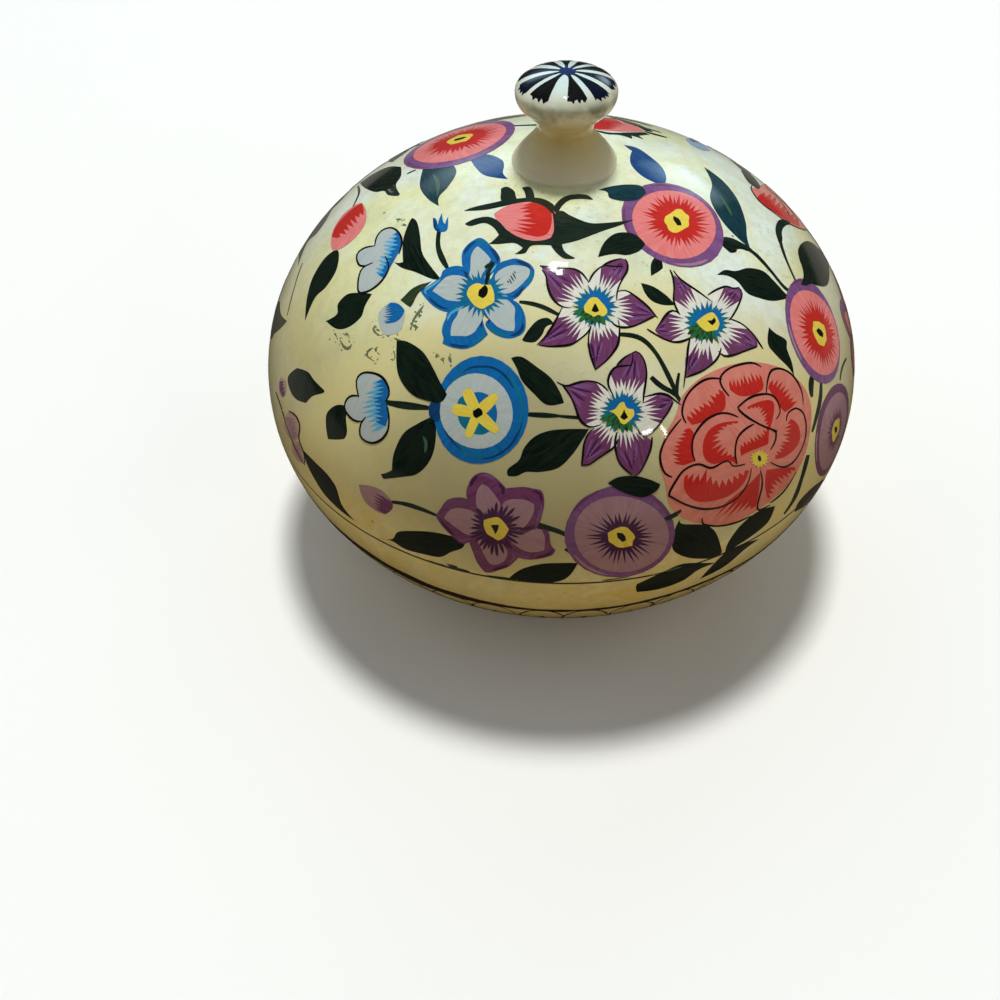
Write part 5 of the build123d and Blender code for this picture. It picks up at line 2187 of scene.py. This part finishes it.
WINDOW_NAMES = ("window_left", "window_right")   # these lamps fade towards their edges
LAMP_FADE = (0.5, 0.15)      # how far from a lamp's middle its light ends, and where it is full


def light_path(tree, ray):
    """1 for one kind of ray, and 0 for the others."""
    return add_node(tree, "ShaderNodeLightPath", ray)


def floor():
    """A pale floor, whose bounce on the box is that of a light wooden table."""
    material, tree, shader = new_material("floor_pale", roughness=0.9, specular=0.1)
    seen = add_mix(tree, light_path(tree, "Is Camera Ray"), FLOOR_BOUNCE, PALE_FLOOR)
    away = add_distance(tree, object_place(tree), (0, 0, 0))
    # painted shadow: the floor that the lacquer mirrors is dark near the box, and lit past its shadow
    mirrored = add_mix(tree, add_range(tree, away, *SHADOW_EDGE), FLOOR_MIRRORED, FLOOR_MIRRORED_LIT)
    mirrored = add_mix(tree, add_range(tree, away, *FAR_OFF), mirrored, FLOOR_MIRRORED_FAR)
    shade = add_mix(tree, light_path(tree, "Is Glossy Ray"), seen, mirrored)
    tree.links.new(shade, shader.inputs["Base Color"])
    corners = [(x * FLOOR_REACH, y * FLOOR_REACH, 0) for x, y in ((-1, -1), (1, -1), (1, 1), (-1, 1))]
    piece = add_mesh("floor", corners, [(0, 1, 2, 3)], [material], [0])


def add_lamp(name, kind, power, tint, way, mirrored):
    """A lamp that shines from a direction, and whether the lacquer mirrors it. Gives its holder."""
    lamp = bpy.data.lights.new(name, kind)
    lamp.energy = power
    lamp.color = tint
    holder = add_object(name, lamp)
    holder.rotation_euler = Vector(way).to_track_quat("Z", "Y").to_euler()
    holder.visible_glossy = mirrored
    return holder


def sun(name, way, strength, width, tint):
    """A broad even light from far off, which the lacquer doesn't mirror."""
    holder = add_lamp(name, "SUN", strength, tint, way, mirrored=False)
    holder.data.angle = radians(width)


def fade_to_edges(lamp):
    """Light that is brightest in the lamp's middle and fades to nothing at its edges."""
    lamp.use_nodes = True
    tree = lamp.node_tree
    spot = add_node(tree, "ShaderNodeNewGeometry", "Parametric")
    strength = add_range(tree, add_distance(tree, spot, (0.5, 0.5, 0)), *LAMP_FADE)
    tree.links.new(strength, tree.nodes["Emission"].inputs["Strength"])


def softbox(name, way, distance, width, height, power, tint):
    """A soft lamp in a direction from the box, facing it."""
    way = Vector(way).normalized()
    holder = add_lamp(name, "AREA", power, tint, way, mirrored=True)
    holder.data.shape = "RECTANGLE"
    holder.data.size = width
    holder.data.size_y = height
    holder.location = AIM + way * distance
    if name in WINDOW_NAMES:
        fade_to_edges(holder.data)


def world_light():
    """A dim even surround, which the camera sees as white."""
    world = bpy.data.worlds.new("studio")
    bpy.context.scene.world = world
    world.use_nodes = True
    tree = world.node_tree
    background = tree.nodes["Background"]
    level = WORLD_LEVEL
    for ray, seen in (("Is Glossy Ray", WORLD_MIRRORED), ("Is Camera Ray", BACKDROP_LEVEL)):
        inputs = {"Factor": light_path(tree, ray), "A": level, "B": seen}
        level = add_node(tree, "ShaderNodeMix", "Result", inputs, data_type="FLOAT")
    background.inputs["Color"].default_value = WORLD_TINT
    tree.links.new(level, background.inputs["Strength"])


def camera():
    """The photograph's camera."""
    lens = bpy.data.cameras.new("camera")
    lens.lens = FOCAL / PICTURE * SENSOR
    lens.sensor_width = SENSOR
    lens.clip_start = NEAREST_SEEN
    holder = add_object("camera", lens)
    axes = Matrix((RIGHT, UP, -AHEAD)).transposed().to_4x4()
    holder.matrix_world = Matrix.Translation(EYE * MM) @ axes
    bpy.context.scene.camera = holder


bpy.context.scene.view_settings.view_transform = "Standard"
floor()
world_light()
for settings in SUNS:
    sun(*settings)
for settings in SOFTBOXES:
    softbox(*settings)
camera()
lid_shell()
base_shell()
knob_turning()
knob_star()
inside_pieces()
lid_leaves()
lid_stems()
lid_star_flowers()
lid_blue_flowers()
lid_disc_flowers()
lid_plum_and_peony()
lid_buds()
lid_smudges()
lid_back_flowers()
lid_back_leaves()
base_leaves()
base_ring_line()
base_petals()
